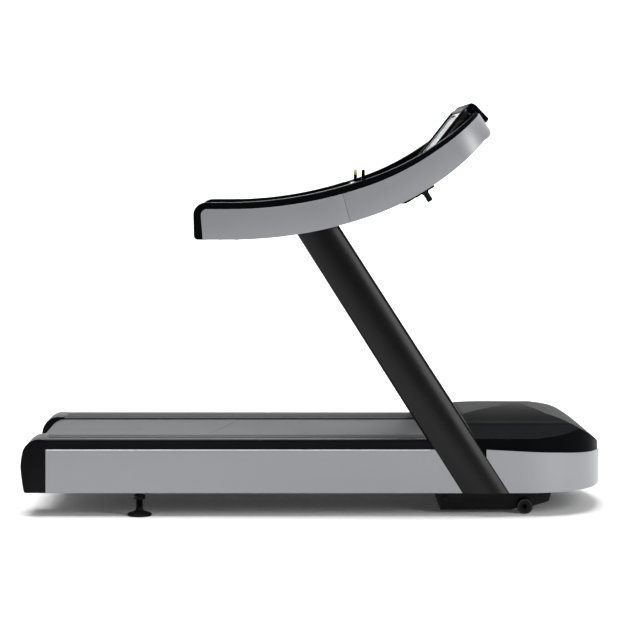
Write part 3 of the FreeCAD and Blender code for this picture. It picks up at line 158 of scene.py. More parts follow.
def turned_metal(name, low, high, rough, stretch):
    """Machined metal: fine tool lines across the stretch direction."""
    material, tree, surface, where = start_material(name, **{"Metallic": 1.0})
    lines = grain(tree, where, 1.2, 3.0, stretch)
    vary_colour(tree, surface, lines, low, high)
    vary_roughness(tree, surface, lines, rough - 0.06, rough + 0.08)
    add_bump(tree, surface, lines, 0.25, 0.03)
    return material


# Silver basecoat on moulded ABS: pale grey, satin, with a fine metal flake.
silver_panel = sprayed("silver_paint_on_abs", "88898C", "909194", 0.42, metallic=0.35, coat=0.1)
# The same silver on the pressed aluminium arm covers, more metallic; its base colour is a little brighter
# than the panel's as painted light, for the light the curved covers catch.
silver_arm_with_painted_light = sprayed("silver_paint_on_aluminium", "8C8D90", "949599", 0.46, metallic=0.4, coat=0.1)
# Semi-gloss stoved enamel on the steel posts: near black, with a long soft highlight.
post_enamel = sprayed("semi_gloss_enamel_on_steel", "060606", "0A0A0A", 0.30, coat=0.05, peel=0.2,
                      gloss=0.16)
# Polyester powder coat: black, satin, visible orange peel.
powder_coat = sprayed("black_powder_coat", "060607", "0B0B0C", 0.5, peel=0.6, gloss=0.15)
# Dark grey enamel on the motor, the lift actuator and the rings of the lift wheels.
motor_enamel = sprayed("dark_grey_enamel", "2A2C2F", "33363A", 0.42, peel=0.5)
# Black ABS with a fine moulded grain: deep black with a broad soft sheen.
black_abs = moulded("black_moulded_abs", "040406", "08080B", 0.42, gloss=0.07)
# ABS from a smoother, matt tool: nose hood, console hood and arm cores, near black with hardly a highlight.
hood_abs = moulded("smooth_black_abs", "060709", "090A0C", 0.42, 2.4, 0.05, 0.3, gloss=0.008)
# Integral-skin polyurethane foam of the grips: leather-like pebble, soft sheen.
grip_foam = moulded("polyurethane_skin_foam", "08080A", "0D0D10", 0.5, 3.2, 0.3, 0.7, sheen=0.08)
# Nitrile rubber of cushions and feet.
nitrile = moulded("nitrile_rubber", "080809", "0D0D0E", 0.65, 1.5, 0.2, 0.6)
# Hard polyurethane tyre of the lift wheels.
tyre_urethane = moulded("polyurethane_tyre", "0D0D0E", "161617", 0.5, 1.2, 0.1, 0.4)
# Gloss ABS round the display.
gloss_abs = moulded("gloss_black_abs", "08080A", "0D0D10", 0.14, 6.0, 0.01, 0.1, gloss=0.4)
# Oxide-blacked steel of foot nuts and threads: dull, faintly blue.
black_oxide = turned_metal("black_oxide_steel", "141516", "1E1F21", 0.5, (1, 1, 1))
# Bright silver lacquer on the line round the glass; on the side panels' top edge the same pale colour is a
# painted highlight for the light caught by the edge's bevel.
bright_trim_and_painted_highlight = sprayed("bright_silver_trim_and_painted_highlight", "D9DADC", "E4E5E7", 0.28, metallic=0.25, coat=0.4)
# Lime thermoplastic inlay of the finger levers.
lime_inlay = moulded("lime_thermoplastic", "B9CF1E", "C8DC35", 0.4, 1.5, 0.03, 0.3)
# Red and yellow acetal of the emergency stop.
red_acetal = moulded("red_acetal", "A80F10", "B91617", 0.26, 2.0, 0.02, 0.2)
yellow_acetal = moulded("yellow_acetal", "D6A90E", "E2B51B", 0.35, 2.0, 0.02, 0.2)
# Printed marks on the keys and the rocker: matt pale ink.
pale_ink = moulded("pale_pad_print", "C9CACC", "D6D7D9", 0.55, 0.9, 0.01, 0.2)
# Ground steel of rollers, shafts and rod; tool lines run round the bar.
ground_steel = turned_metal("ground_steel", "8F9194", "A5A7AA", 0.28, (0.25, 1, 0.25))
# Zinc-plated screws and nuts: pale, slightly blue.
zinc_plate = turned_metal("zinc_plated_steel", "A2A5A9", "B7BABE", 0.33, (1, 1, 1))
# Cast and machined aluminium of pulleys and heat sinks.
cast_aluminium = turned_metal("machined_aluminium", "A9ABAD", "BFC1C3", 0.36, (0.4, 1, 0.4))
# Polished stainless of the pulse sensor sleeves.
stainless = turned_metal("polished_stainless", "B7B9BC", "C6C8CA", 0.16, (0.3, 1, 0.3))


def running_belt_pvc():
    """PVC-faced polyester belt: grey-black, embossed with diamonds at 9 mm, larger than real ones. Its grey
    is partly the belt's own colour and partly painted sheen, lighter than the belt's near black for the
    sheen it shows at a grazing angle.
    """
    material, tree, surface, where = start_material("pvc_faced_polyester_belt", **{
        "Specular IOR Level": 0.15, "Sheen Weight": 0.06})
    turned = add(tree, "ShaderNodeMapping", {"Vector": where, "Rotation": (0, 0, math.radians(45))})
    ribs = []
    for direction in ("X", "Y"):
        wave = add(tree, "ShaderNodeTexWave", {
            "Vector": turned.outputs[0], "Scale": 36.0, "Distortion": 0.3}, bands_direction=direction)
        ribs.append(wave.outputs["Fac"])
    diamonds = add(tree, "ShaderNodeMath", {0: ribs[0], 1: ribs[1]}, operation="MULTIPLY").outputs[0]
    worn = grain(tree, where, 160, 4.0, (0.4, 1, 1))
    blend = add(tree, "ShaderNodeMath", {0: diamonds, 1: worn}, operation="MULTIPLY").outputs[0]
    # The grey runs lighter than the belt's own near black: partly painted sheen for a grazing view.
    vary_colour(tree, surface, blend, "313234", "505154")
    vary_roughness(tree, surface, worn, 0.52, 0.64)
    add_bump(tree, surface, diamonds, 0.6, 0.35)
    return material


def tread_rubber():
    """Ribbed styrene rubber strip: charcoal, dulled along the ribs where shoes rub."""
    material, tree, surface, where = start_material("ribbed_styrene_rubber", **{"Specular IOR Level": 0.3})
    rub = grain(tree, where, 70, 4.0, (0.2, 1, 1))
    vary_colour(tree, surface, rub, "1C1D1F", "2B2D2F")
    vary_roughness(tree, surface, rub, 0.6, 0.75)
    add_bump(tree, surface, grain(tree, where, 2.0), 0.4, 0.15)
    return material


def deck_laminate():
    """Waxed phenolic face on medium-density fibreboard: brown, flecked with fibres along the board."""
    material, tree, surface, where = start_material("waxed_phenolic_fibreboard", **{"Coat Weight": 0.2})
    fibres = grain(tree, where, 4.0, 6.0, (0.15, 1, 1))
    vary_colour(tree, surface, fibres, "4B3726", "6B5038")
    vary_roughness(tree, surface, fibres, 0.35, 0.5)
    add_bump(tree, surface, fibres, 0.2, 0.1)
    return material


def drive_belt_rubber():
    """Poly-V drive belt: lengthwise grooves at 3.5 mm across its width."""
    material, tree, surface, where = start_material("poly_v_chloroprene")
    wave = add(tree, "ShaderNodeTexWave", {"Vector": where, "Scale": 90.0}, bands_direction="Y")
    grooves = wave.outputs["Fac"]
    vary_colour(tree, surface, grooves, "09090A", "161617")
    vary_roughness(tree, surface, grooves, 0.6, 0.75)
    add_bump(tree, surface, grooves, 0.7, 0.8)
    return material


def display_glass():
    """Tempered glass over an unlit panel: nearly black, mirror smooth, with a faint panel tint."""
    material, tree, surface, where = start_material(
        "tempered_display_glass", **{"IOR": 1.52, "Coat Weight": 1.0, "Coat Roughness": 0.03})
    haze = grain(tree, where, 120)
    vary_colour(tree, surface, haze, "0A0D12", "10141A")
    vary_roughness(tree, surface, haze, 0.05, 0.12)
    return material


def lit_symbol(name, colour, glow):
    """Screen element: a lit liquid-crystal area with a faint cell pattern."""
    material, tree, surface, where = start_material(name, **{
        "Emission Color": linear(colour), "Emission Strength": glow, "Roughness": 0.3})
    cells = add(tree, "ShaderNodeTexVoronoi", {"Vector": where, "Scale": 900.0}).outputs["Distance"]
    vary_colour(tree, surface, cells, colour, "101418")
    return material


belt_pvc = running_belt_pvc()
ribbed_rubber = tread_rubber()
fibreboard = deck_laminate()
chloroprene = drive_belt_rubber()
screen_glass = display_glass()
screen_pale = lit_symbol("lcd_pale_area", "6F7E89", 0.12)
screen_lime = lit_symbol("lcd_lime_area", "93AC22", 0.25)
screen_slate = lit_symbol("lcd_slate_area", "141C24", 0.08)

FINISHES = {
    silver_panel: ("side_panel_left", "side_panel_right", "front_shroud"),
    silver_arm_with_painted_light: ("arm_cover_front", "arm_cover_left", "arm_cover_right"),
    post_enamel: ("post_left", "post_right"),
    powder_coat: ("frame_rails", "frame_crossmembers", "lift_frame", "motor_bracket", "belly_pan",
                  "grab_bar"),
    motor_enamel: ("motor_housing", "lift_actuator"),
    black_abs: ("foot_rail_left", "foot_rail_right", "rear_cap_left", "rear_cap_right", "console_housing",
                "bottle_holders", "accessory_hook", "power_inlet", "lever_left", "lever_right",
                "key_speed_up", "key_speed_down", "key_incline_up", "key_incline_down"),
    hood_abs: ("motor_hood", "console_hood", "arm_core_left", "arm_core_right"),
    grip_foam: ("arm_grips",),
    nitrile: ("deck_cushions", "rear_foot_left", "rear_foot_right"),
    tyre_urethane: ("lift_wheel_left", "lift_wheel_right"),
    gloss_abs: ("display_bezel", "power_switch", "console_trims"),
    red_acetal: ("stop_button",),
    ground_steel: ("front_roller", "rear_roller", "roller_shafts", "motor_rotor", "lift_rod"),
    zinc_plate: ("pan_screws", "tension_bolts"),
    cast_aluminium: ("roller_pulley", "motor_pulley", "drive_controller"),
    stainless: ("pulse_sensors",),
    belt_pvc: ("running_belt",),
    ribbed_rubber: ("foot_treads",),
    fibreboard: ("deck_board",),
    chloroprene: ("drive_belt",),
    screen_glass: ("display_screen",),
}
for finish, names in FINISHES.items():
    for node_name in names:
        slots = frame["nodes"][node_name].material_slots
        for slot in slots:
            slot.link = "OBJECT"
            slot.material = finish


# ---------------------------------------------------------------- making pieces

def as_mesh(name, bm, smooth_to=38):
    """Closes a bmesh into a mesh with outward faces, smooth up to an angle in degrees."""
    bmesh.ops.remove_doubles(bm, verts=bm.verts, dist=1e-6)
    bmesh.ops.recalc_face_normals(bm, faces=bm.faces)
    mesh = bpy.data.meshes.new(name)
    bm.to_mesh(mesh)
    bm.free()
    for face in mesh.polygons:
        face.use_smooth = True
    mesh.set_sharp_from_angle(angle=math.radians(smooth_to))
    return mesh


def piece(name, mesh, material, body):
    """Adds a finished mesh to the object as a piece that rides on a body."""
    obj = bpy.data.objects.new(name, mesh)
    bpy.context.scene.collection.objects.link(obj)
    mesh.materials.clear()
    mesh.materials.append(material)
    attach(obj, body)
    return obj


def lathe(profile, matrix=Matrix(), segments=48):
    """Turns a closed outline of (radius, height) about Z, then places it."""
    bm = bmesh.new()
    rings = []
    for radius, height in profile:
        if radius < 1e-7:
            rings.append([bm.verts.new((0, 0, height))] * segments)
            continue
        rings.append([bm.verts.new((radius * math.cos(2 * math.pi * k / segments),
                                    radius * math.sin(2 * math.pi * k / segments), height))
                      for k in range(segments)])
    for one, two in zip(rings, rings[1:] + rings[:1]):
        for k in range(segments):
            corners = []
            for vert in (one[k], one[(k + 1) % segments], two[(k + 1) % segments], two[k]):
                if vert not in corners:
                    corners.append(vert)
            if len(corners) > 2:
                bm.faces.new(corners)
    bm.transform(matrix)
    return bm


def slab(outline, low, high, matrix=Matrix(), bevel=0.0):
    """A flat outline in XY given thickness from low to high, its edges rounded, then placed."""
    bm = bmesh.new()
    base = [bm.verts.new((x, y, low)) for x, y in outline]
    top = [bm.verts.new((x, y, high)) for x, y in outline]
    bm.faces.new(base)
    bm.faces.new(top)
    for k in range(len(outline)):
        bm.faces.new((base[k - 1], base[k], top[k], top[k - 1]))
    if bevel:
        bmesh.ops.bevel(bm, geom=[e for e in bm.edges if abs(e.verts[0].co.z - e.verts[1].co.z) < 1e-7],
                        offset=bevel, segments=2, affect="EDGES", profile=0.5)
    bm.transform(matrix)
    return bm


def rounded_box(x0, y0, x1, y1, radius, steps=5):
    points = []
    for cx, cy, start in ((x1 - radius, y1 - radius, 0), (x0 + radius, y1 - radius, 90),
                          (x0 + radius, y0 + radius, 180), (x1 - radius, y0 + radius, 270)):
        for k in range(steps + 1):
            angle = math.radians(start + 90 * k / steps)
            points.append((cx + radius * math.cos(angle), cy + radius * math.sin(angle)))
    return points


def hexagon(across):
    radius = across / math.sqrt(3)
    corners = [math.radians(60 * k) for k in range(6)]
    return [(radius * math.cos(angle), radius * math.sin(angle)) for angle in corners]


def joined(*parts):
    """One bmesh from several."""
    whole = bmesh.new()
    for part in parts:
        spare = bpy.data.meshes.new("spare")
        part.to_mesh(spare)
        part.free()
        whole.from_mesh(spare)
        bpy.data.meshes.remove(spare)
    return whole


def bead(name, points, radius, material, body, cyclic=False):
    """A round bead that follows a smooth line through the points."""
    curve = bpy.data.curves.new(name, "CURVE")
    curve.dimensions = "3D"
    curve.bevel_depth = radius
    curve.bevel_resolution = 3
    curve.use_fill_caps = not cyclic
    spline = curve.splines.new("POLY")
    spline.points.add(len(points) - 1)
    for point, place in zip(spline.points, points):
        point.co = (*place, 1)
    spline.use_cyclic_u = cyclic
    rod = bpy.data.objects.new(name, curve)
    bpy.context.scene.collection.objects.link(rod)
    mesh = bpy.data.meshes.new_from_object(rod.evaluated_get(bpy.context.evaluated_depsgraph_get()))
    bpy.data.objects.remove(rod)
    for face in mesh.polygons:
        face.use_smooth = True
    return piece(name, mesh, material, body)


# ---------------------------------------------------------------- geometry nodes: evenly spaced copies

def copies_tree():
    """Copies a shape along a line, turning each one, then along a second line, and places them all."""
    tree = bpy.data.node_groups.new("evenly spaced copies", "GeometryNodeTree")
    face = tree.interface
    face.new_socket("Geometry", in_out="OUTPUT", socket_type="NodeSocketGeometry")
    for name, kind in (("Geometry", "Geometry"), ("Count", "Int"), ("Step", "Vector"), ("Turn", "Vector"),
                       ("Rows", "Int"), ("Row Step", "Vector"), ("Place", "Vector"), ("Tilt", "Vector"),
                       ("Finish", "Material")):
        face.new_socket(name, in_out="INPUT", socket_type="NodeSocket" + kind)
    given = add(tree, "NodeGroupInput").outputs
    line = add(tree, "GeometryNodeMeshLine", {"Count": given["Count"], "Offset": given["Step"]})
    number = add(tree, "GeometryNodeInputIndex").outputs[0]
    turn = add(tree, "ShaderNodeVectorMath", {0: given["Turn"]}, operation="SCALE")
    tree.links.new(number, turn.inputs["Scale"])
    row = add(tree, "GeometryNodeInstanceOnPoints", {
        "Points": line.outputs[0], "Instance": given["Geometry"], "Rotation": turn.outputs[0]})
    row_line = add(tree, "GeometryNodeMeshLine", {"Count": given["Rows"], "Offset": given["Row Step"]})
    rows = add(tree, "GeometryNodeInstanceOnPoints", {
        "Points": row_line.outputs[0], "Instance": row.outputs[0]})
    placed = add(tree, "GeometryNodeTransform", {
        "Geometry": rows.outputs[0], "Translation": given["Place"], "Rotation": given["Tilt"]})
    real = add(tree, "GeometryNodeRealizeInstances", {"Geometry": placed.outputs[0]})
    finished = add(tree, "GeometryNodeSetMaterial", {
        "Geometry": real.outputs[0], "Material": given["Finish"]})
    add(tree, "NodeGroupOutput", {"Geometry": finished.outputs[0]})
    return tree


COPIES = copies_tree()
COPY_INPUTS = {item.name: item.identifier for item in COPIES.interface.items_tree if item.in_out == "INPUT"}


def repeated(name, unit, material, body, count, step=(0, 0, 0), turn=(0, 0, 0), rows=1,
             row_step=(0, 0, 0), place=(0, 0, 0), tilt=(0, 0, 0), smooth_to=38):
    """A piece made of evenly spaced copies of a unit shape."""
    seed = bpy.data.objects.new(name + "_unit", as_mesh(name + "_unit", unit, smooth_to))
    bpy.context.scene.collection.objects.link(seed)
    modifier = seed.modifiers.new("copies", "NODES")
    modifier.node_group = COPIES
    for key, value in (("Count", count), ("Step", step), ("Turn", turn), ("Rows", rows),
                       ("Row Step", row_step), ("Place", place), ("Tilt", tilt), ("Finish", material)):
        modifier[COPY_INPUTS[key]] = value
    bpy.context.view_layer.update()
    mesh = bpy.data.meshes.new_from_object(seed.evaluated_get(bpy.context.evaluated_depsgraph_get()))
    seed.modifiers.remove(modifier)
    bpy.data.objects.remove(seed)
    mesh.name = name
    return piece(name, mesh, material, body)


def on_tray(along, across, height):
    """A point on the console tray: up its slope, across, and above it."""
    x, z, slope = TRAY
    return Vector((x + along * math.cos(slope) - height * math.sin(slope), across,
                   z + along * math.sin(slope) + height * math.cos(slope)))


def on_glass(along, across, height):
    x, z, slope = GLASS
    return Vector((x + along * math.cos(slope) - height * math.sin(slope), across,
                   z + along * math.sin(slope) + height * math.cos(slope)))


def tilted(origin, slope):
    """Placement for a flat shape: its X runs up the slope, its Y across."""
    return Matrix.Translation(origin) @ Matrix.Rotation(-slope, 4, "Y")


ACROSS_LEFT = Matrix.Rotation(-math.pi / 2, 4, "X")      # turns Z towards +Y


def facing(x, y, z, side):
    """Placement for a turned shape that stands out sideways from the middle of the machine."""
    turn = ACROSS_LEFT if side > 0 else Matrix.Rotation(math.pi / 2, 4, "X")
    return Matrix.Translation((x, y, z)) @ turn


# ---------------------------------------------------------------- softened edges

BODY_OF = {name: body for body, names in frame["record"]["behaviour"]["bodies"].items() for name in names}
# Edge radius in millimetres of each moulded or cast part whose rounded edges catch the light.
SOFT_EDGES = {
    "arm_core_left": 10, "arm_core_right": 10, "arm_grips": 5, "rear_cap_left": 5, "rear_cap_right": 5,
    "console_hood": 9, "accessory_hook": 2, "display_bezel": 3, "console_trims": 1.2,
    "lever_left": 3, "lever_right": 3, "key_speed_up": 1.5, "key_speed_down": 1.5, "key_incline_up": 1.5,
    "key_incline_down": 1.5, "drive_controller": 2, "lift_actuator": 3, "arm_cover_left": 1,
    "arm_cover_right": 1, "arm_cover_front": 1, "lift_frame": 1.5, "power_inlet": 1,
}


def softened(name, radius_mm):
    """The same part with its sharp edges rounded; it stands for the plain one."""
    bm = bmesh.new()
    bm.from_mesh(frame["nodes"][name].data)
    bmesh.ops.remove_doubles(bm, verts=bm.verts, dist=2e-5)
    bmesh.ops.dissolve_limit(bm, angle_limit=math.radians(1.0), verts=bm.verts, edges=bm.edges)
    plain = bpy.data.meshes.new(name + "_plain")
    bm.to_mesh(plain)
    bm.free()
    rough = bpy.data.objects.new(name + "_plain", plain)
    bpy.context.scene.collection.objects.link(rough)
    bevel = rough.modifiers.new("rounding", "BEVEL")
    bevel.width = radius_mm * MM
    bevel.segments = 4
    bevel.limit_method = "ANGLE"
    bevel.angle_limit = math.radians(40)
    bpy.context.view_layer.update()
    mesh = bpy.data.meshes.new_from_object(rough.evaluated_get(bpy.context.evaluated_depsgraph_get()))
    bpy.data.objects.remove(rough)
    for face in mesh.polygons:
        face.use_smooth = True
    mesh.set_sharp_from_angle(angle=math.radians(30))
    finish = frame["nodes"][name].material_slots[0].material
    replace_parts(piece(name + "_soft", mesh, finish, BODY_OF[name]), name)


for part_name, edge_radius in SOFT_EDGES.items():
    softened(part_name, edge_radius)


# ---------------------------------------------------------------- base details

def socket_screw(radius, height):
    """Button-head screw with a hexagon socket."""
    head = lathe([(0, 0), (radius, 0), (radius, height * 0.35), (radius * 0.8, height * 0.85),
                  (radius * 0.5, height), (radius * 0.5, height * 0.4), (0, height * 0.4)], segments=18)
    return head


for side, sign in SIDES:
    face_y = PANEL_FACE * sign
    # Pale bead along the top edge of the silver panel: its bright colour is a painted highlight for the
    # light caught by the edge's bevel.
    edge_highlight = [(x, face_y + 0.0002 * sign, PANEL_TOP - 0.0014) for x in (PANEL_REAR, PANEL_FRONT)]
    bead(f"panel_edge_highlight_{side}", edge_highlight, 0.0016, bright_trim_and_painted_highlight, "base")

# Spliced joint of the running belt: a slanted seam with its wear edge.
splice_height = BELT_TOP + 0.00005
splice = [(-0.420, -BELT_HALF, splice_height), (-0.300, BELT_HALF, splice_height)]
bead("belt_splice", splice, 0.0008, belt_pvc, "base")


def levelling_foot(side, sign):
    """Lock nut, washer and thread turns on the stud of a levelling foot."""
    x, y = FOOT
    place = Matrix.Translation((x, y * sign, 0))
    nut = slab(hexagon(0.036), 0.060, 0.074, place, 0.0015)
    washer = lathe([(0.0112, 0.074), (0.021, 0.074), (0.021, 0.0765), (0.0112, 0.0765)], place)
    piece(f"foot_nut_{side}", as_mesh("foot_nut", joined(nut, washer)), black_oxide,
          f"rear_foot_{side}")
    ridge = lathe([(STUD_RADIUS, 0), (STUD_RADIUS + 0.0016, 0.0010), (STUD_RADIUS, 0.0020)], segments=28)
    repeated(f"foot_thread_{side}", ridge, black_oxide, f"rear_foot_{side}", count=14,
             step=(0, 0, 0.002), place=(x, y * sign, 0.032))
    pad_ring = lathe([(0.0435, 0.0005), (0.0455, 0.0015), (0.0455, 0.0035), (0.0435, 0.0045)], place, 64)
    piece(f"foot_ring_{side}", as_mesh("foot_ring", pad_ring), nitrile, f"rear_foot_{side}")


def lift_wheel(side, sign):
    """Rim ring and spoke ribs of a lift wheel, and the nut on its axle."""
    x, y, z = WHEEL
    outer = (y + WHEEL_HALF_WIDTH) * sign
    rim = lathe([(0.0228, -0.002), (0.0234, 0.0004), (0.0248, 0.0004), (0.0254, -0.002)],
                facing(x, outer, z, sign))
    piece(f"wheel_ring_{side}", as_mesh("wheel_ring", rim), motor_enamel, f"lift_wheel_{side}")
    spoke = slab([(0.0145, -0.0014), (0.0215, -0.0010), (0.0215, 0.0010), (0.0145, 0.0014)],
                 -0.003, -0.0004)
    spoke.transform(Matrix.Rotation(math.pi / 2 * -sign, 4, "X"))
    repeated(f"wheel_spokes_{side}", spoke, tyre_urethane, f"lift_wheel_{side}", count=6,
             turn=(0, math.radians(60), 0), place=(x, outer, z))
    nut = slab(hexagon(0.017), 0.0, 0.0045, facing(x, AXLE_END * sign, z, sign), 0.0008)
    piece(f"axle_nut_{side}", as_mesh("axle_nut", nut), black_oxide, "lift_frame")


for side, sign in SIDES:
    levelling_foot(side, sign)
    lift_wheel(side, sign)

# Cooling ribs round the motor.
fin = lathe([(0.0698, 0), (0.0745, 0.0005), (0.0745, 0.0025), (0.0698, 0.003)], ACROSS_LEFT, 56)
repeated("motor_fins", fin, motor_enamel, "base", count=15, step=(0, 0.012, 0),
         place=(MOTOR[0], -0.106, MOTOR[1]))
# Screws along the lower edge of the front shroud, underneath.
repeated("shroud_screws", socket_screw(0.006, 0.003), zinc_plate, "base", count=3,
         step=(0.062, 0, 0), rows=2, row_step=(0, 0.50, 0), place=(0.85, -0.25, 0.0968), tilt=(0, 0, 0))


# ---------------------------------------------------------------- arms and levers

def lever_inlay(side, sign):
    """Lime inlay on the face of a lever that looks towards the runner."""
    x, y, z = LEVER
    outline = rounded_box(-0.0054, 0.025, 0.0054, 0.0465, 0.0035)
    place = Matrix.Translation((x, (y - 0.0058) * sign, z)) @ Matrix.Rotation(math.pi / 2, 4, "X")
    low, high = (0.0, 0.0012) if sign > 0 else (-0.0012, 0.0)
    inlay = as_mesh("lever_inlay", slab(outline, low, high, place, 0.0004))
    piece(f"lever_inlay_{side}", inlay, lime_inlay, f"lever_{side}")


for side, sign in SIDES:
    lever_inlay(side, sign)

# Screws under each arm.
for side, sign in SIDES:
    repeated(f"arm_screws_{side}", socket_screw(0.006, 0.0028), zinc_plate, "base", count=3,
             step=(0.060, 0, 0), place=(-0.42, ARM_MIDDLE * sign, ARM_UNDERSIDE), tilt=(math.pi, 0, 0))


# ---------------------------------------------------------------- console details

def key_marks():
    """Printed symbols on the four keys: plus, minus, up and down."""
    bar = 0.0012
    arm = 0.0062
    plus = [(-bar, -arm), (bar, -arm), (bar, -bar), (arm, -bar), (arm, bar), (bar, bar),
            (bar, arm), (-bar, arm), (-bar, bar), (-arm, bar), (-arm, -bar), (-bar, -bar)]
    minus = [(-bar, -arm), (bar, -arm), (bar, arm), (-bar, arm)]
    up = [(-0.004, -0.0065), (0.0045, 0), (-0.004, 0.0065), (-0.0015, 0.0)]
    down = [(-x, y) for x, y in up]
    for name, outline, across, along in (
            ("speed_up", plus, -KEY_COLUMN, KEY_ROWS[0]), ("speed_down", minus, -KEY_COLUMN, KEY_ROWS[1]),
            ("incline_up", up, KEY_COLUMN, KEY_ROWS[0]), ("incline_down", down, KEY_COLUMN, KEY_ROWS[1])):
        mark = slab(outline, 0.0, 0.0003, tilted(on_tray(along, across, KEY_FACE), TRAY[2]))
        piece(f"mark_{name}", as_mesh("mark", mark), pale_ink, f"key_{name}")


key_marks()
collar = lathe([(0.0235, 0.0002), (0.0320, 0.0002), (0.0320, 0.0016), (0.0300, 0.0026), (0.0235, 0.0026)],
               tilted(on_tray(STOP_UP_TRAY, 0, 0), TRAY[2]), 64)
piece("stop_collar", as_mesh("stop_collar", collar), yellow_acetal, "base")

for side, sign in SIDES:
    middle = SPEAKER[1] * sign
    plate = slab(rounded_box(-0.024, -0.034, 0.024, 0.034, 0.008), 0.0002, 0.0014,
                 tilted(on_tray(SPEAKER[0], middle, 0), TRAY[2]), 0.0004)
    piece(f"speaker_plate_{side}", as_mesh("speaker_plate", plate), gloss_abs, "base")
    corner = on_tray(SPEAKER[0] - 0.020, middle - 0.028, 0.0014)
    dot = lathe([(0, 0), (0.0013, 0), (0.0013, 0.0002), (0, 0.0002)], segments=10)
    repeated(f"speaker_holes_{side}", dot, zinc_plate, "base", count=9, step=(0.005, 0, 0), rows=12,
             row_step=(0, 0.0051, 0), place=corner, tilt=(0, -TRAY[2], 0))
    # Ribs that steady a bottle, round the inside of its holder.
    rib = slab([(0.0355, -0.0012), (0.0374, -0.0016), (0.0374, 0.0016), (0.0355, 0.0012)], -0.050, -0.006)
    cup = on_tray(BOTTLE[0], BOTTLE[1] * sign, 0.0)
    repeated(f"bottle_ribs_{side}", rib, nitrile, "base", count=12,
             turn=(0, 0, math.radians(30)), place=cup, tilt=(0, -TRAY[2], 0))


def lit_shape(name, outline, material, lift=0.0002):
    """A lit area on the display; lift is its layer above the glass."""
    place = tilted(on_glass(0, 0, GLASS_DEPTH + lift), GLASS[2])
    mesh = as_mesh(name, slab(outline, 0, 0.0001, place))
    return piece(name, mesh, material, "base")


TOP_LAYER = GLASS_DEPTH + 0.0003                # the readout lies on its slate ground


def display_picture():
    """Generic readout: an oval track, a row of interval bars and eight blank tiles."""
    lit_shape("readout_ground", rounded_box(0.030, -0.246, 0.224, 0.246, 0.006), screen_slate, 0.0001)
    loop = bmesh.new()
    steps = 72
    rings = []
    for grow in (0.0, 0.006):
        points = []
        for k in range(steps):
            angle = 2 * math.pi * k / steps
            points.append((0.150 + (0.040 + grow) * math.sin(angle), (0.095 + grow) * math.cos(angle)))
        rings.append(points)
    for level in (0, 0.0001):
        inner = [loop.verts.new((x, y, level)) for x, y in rings[0]]
        outer = [loop.verts.new((x, y, level)) for x, y in rings[1]]
        for k in range(steps):
            loop.faces.new((inner[k - 1], inner[k], outer[k], outer[k - 1]))
    loop.verts.ensure_lookup_table()
    for start in (0, steps):
        for k in range(steps):
            one, two = start + (k - 1) % steps, start + k
            loop.faces.new((loop.verts[one], loop.verts[two],
                            loop.verts[two + steps * 2], loop.verts[one + steps * 2]))
    loop.transform(tilted(on_glass(0, 0, TOP_LAYER), GLASS[2]))
    piece("readout_track", as_mesh("readout_track", loop), screen_lime, "base")
    bars = []
    for k in range(18):
        height = 0.010 + 0.026 * abs(math.sin(k * 0.55 + 0.4))
        across = -0.085 + k * 0.010
        bars.append(slab([(0.040, across), (0.040 + height, across), (0.040 + height, across + 0.006),
                          (0.040, across + 0.006)], 0, 0.0001, tilted(on_glass(0, 0, TOP_LAYER), GLASS[2])))
    piece("readout_bars", as_mesh("readout_bars", joined(*bars)), screen_pale, "base")
    tile = slab(rounded_box(0, 0, 0.038, 0.105, 0.005), 0, 0.0001)
    for side, across in (("left", 0.130), ("right", -0.235)):
        repeated(f"readout_tiles_{side}", tile.copy(), screen_pale, "base", count=4,
                 step=(0.047, 0, 0), place=on_glass(0.036, across, TOP_LAYER), tilt=(0, -GLASS[2], 0))
    tile.free()


display_picture()
# Raised black rim round the display unit.
rim = [on_glass(x, y, 0.003) for x, y in rounded_box(0.007, -0.273, 0.247, 0.273, 0.012, 8)]
bead("display_rim", rim, 0.007, black_abs, "base", cyclic=True)
# Bright line let into the bezel round the glass.
inset = []
for x, y in rounded_box(0.018, -0.262, 0.236, 0.262, 0.009, 8):
    inset.append(on_glass(x, y, 0.0))
bead("bezel_line", inset, 0.0009, bright_trim_and_painted_highlight, "base", cyclic=True)

# End collars where the grab bar meets the console.
for side, sign in SIDES:
    sleeve = lathe([(0.0162, 0), (0.0205, 0), (0.0215, 0.002), (0.0190, 0.016), (0.0162, 0.018)],
                   facing(BAR_END[0], BAR_END[1] * sign, BAR_END[2], -sign), 40)
    piece(f"bar_collar_{side}", as_mesh("bar_collar", sleeve), black_abs, "base")

# Rocker mark on the mains switch: a line.
mark_line = slab([(-0.003, -0.0006), (0.003, -0.0006), (0.003, 0.0006), (-0.003, 0.0006)], 0, 0.0002,
                 Matrix.Translation(SWITCH_FACE) @ Matrix.Rotation(math.pi / 2, 4, "Y"))
piece("rocker_line", as_mesh("rocker_line", mark_line), pale_ink, "power_switch")


# ---------------------------------------------------------------- stage, light and camera

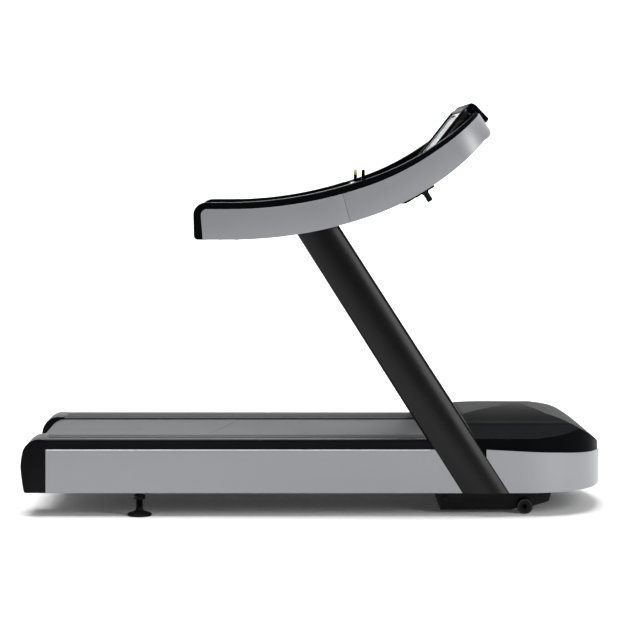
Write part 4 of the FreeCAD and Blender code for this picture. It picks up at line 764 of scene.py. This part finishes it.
def plain_floor():
    """Pale floor that sweeps up behind the machine."""
    bm = bmesh.new()
    floor_end, sweep, half_width = 7, 3, 16
    profile = [(-14, 0), (floor_end, 0)]
    for k in range(1, 25):
        angle = math.radians(90 * k / 24)
        profile.append((floor_end + sweep * math.sin(angle), sweep - sweep * math.cos(angle)))
    profile.append((floor_end + sweep, 12))
    rows = [[bm.verts.new((x, y, z)) for y, z in profile] for x in (-half_width, half_width)]
    for k in range(len(profile) - 1):
        bm.faces.new((rows[0][k], rows[1][k], rows[1][k + 1], rows[0][k + 1]))
    mesh = bpy.data.meshes.new("studio_floor")
    bm.to_mesh(mesh)
    bm.free()
    for face in mesh.polygons:
        face.use_smooth = True
    floor = bpy.data.objects.new("studio_floor", mesh)
    bpy.context.scene.collection.objects.link(floor)
    material, tree, surface, where = start_material("matt_white_paper", **{
        "Roughness": 0.95, "Specular IOR Level": 0.0, "Emission Color": (1, 1, 1, 1),
        "Emission Strength": 0.03})
    vary_colour(tree, surface, grain(tree, where, 900), "F7F7F7", "FAFAFA")
    # Seen from behind or below, the paper is clear, so that it hides nothing of the machine.
    finish = next(node for node in tree.nodes if node.type == "OUTPUT_MATERIAL")
    behind = add(tree, "ShaderNodeNewGeometry").outputs["Backfacing"]
    clear = add(tree, "ShaderNodeBsdfTransparent").outputs[0]
    either = add(tree, "ShaderNodeMixShader", {0: behind, 1: surface.outputs[0], 2: clear})
    tree.links.new(either.outputs[0], finish.inputs["Surface"])
    mesh.materials.append(material)


def softbox(name, place, target, size, power):
    """A rectangular lamp aimed at a point."""
    data = bpy.data.lights.new(name, "AREA")
    data.shape = "RECTANGLE"
    data.size, data.size_y = size
    data.energy = power
    lamp = bpy.data.objects.new(name, data)
    bpy.context.scene.collection.objects.link(lamp)
    lamp.location = place
    lamp.rotation_euler = (Vector(target) - Vector(place)).to_track_quat("-Z", "Y").to_euler()


plain_floor()
softbox("top_softbox", (-0.2, 0.4, 4.2), (0, 0, 0.2), (5.0, 3.0), 400)
softbox("nose_softbox", (3.6, -3.2, 2.2), (0.6, 0, 0.8), (1.6, 2.6), 110)
softbox("backdrop_light", (0, 5.0, 5.5), (0, 10.0, 2.0), (10.0, 2.0), 700)

world = bpy.data.worlds.new("white_studio")
bpy.context.scene.world = world
world.use_nodes = True
sky = world.node_tree.nodes["Background"].inputs
sky["Color"].default_value = (1, 1, 1, 1)
sky["Strength"].default_value = 0.26
bpy.context.scene.view_settings.view_transform = "Standard"

# A long lens level with the handrails; the picture is shifted down onto the machine.
lens = bpy.data.cameras.new("camera")
lens.lens = 124
lens.sensor_width = 36
lens.shift_x = 0.0565
lens.shift_y = -0.232
camera = bpy.data.objects.new("camera", lens)
bpy.context.scene.collection.objects.link(camera)
camera.location = (-0.157, -8.35, 1.297)
camera.rotation_euler = (math.pi / 2, 0, 0)
bpy.context.scene.camera = camera
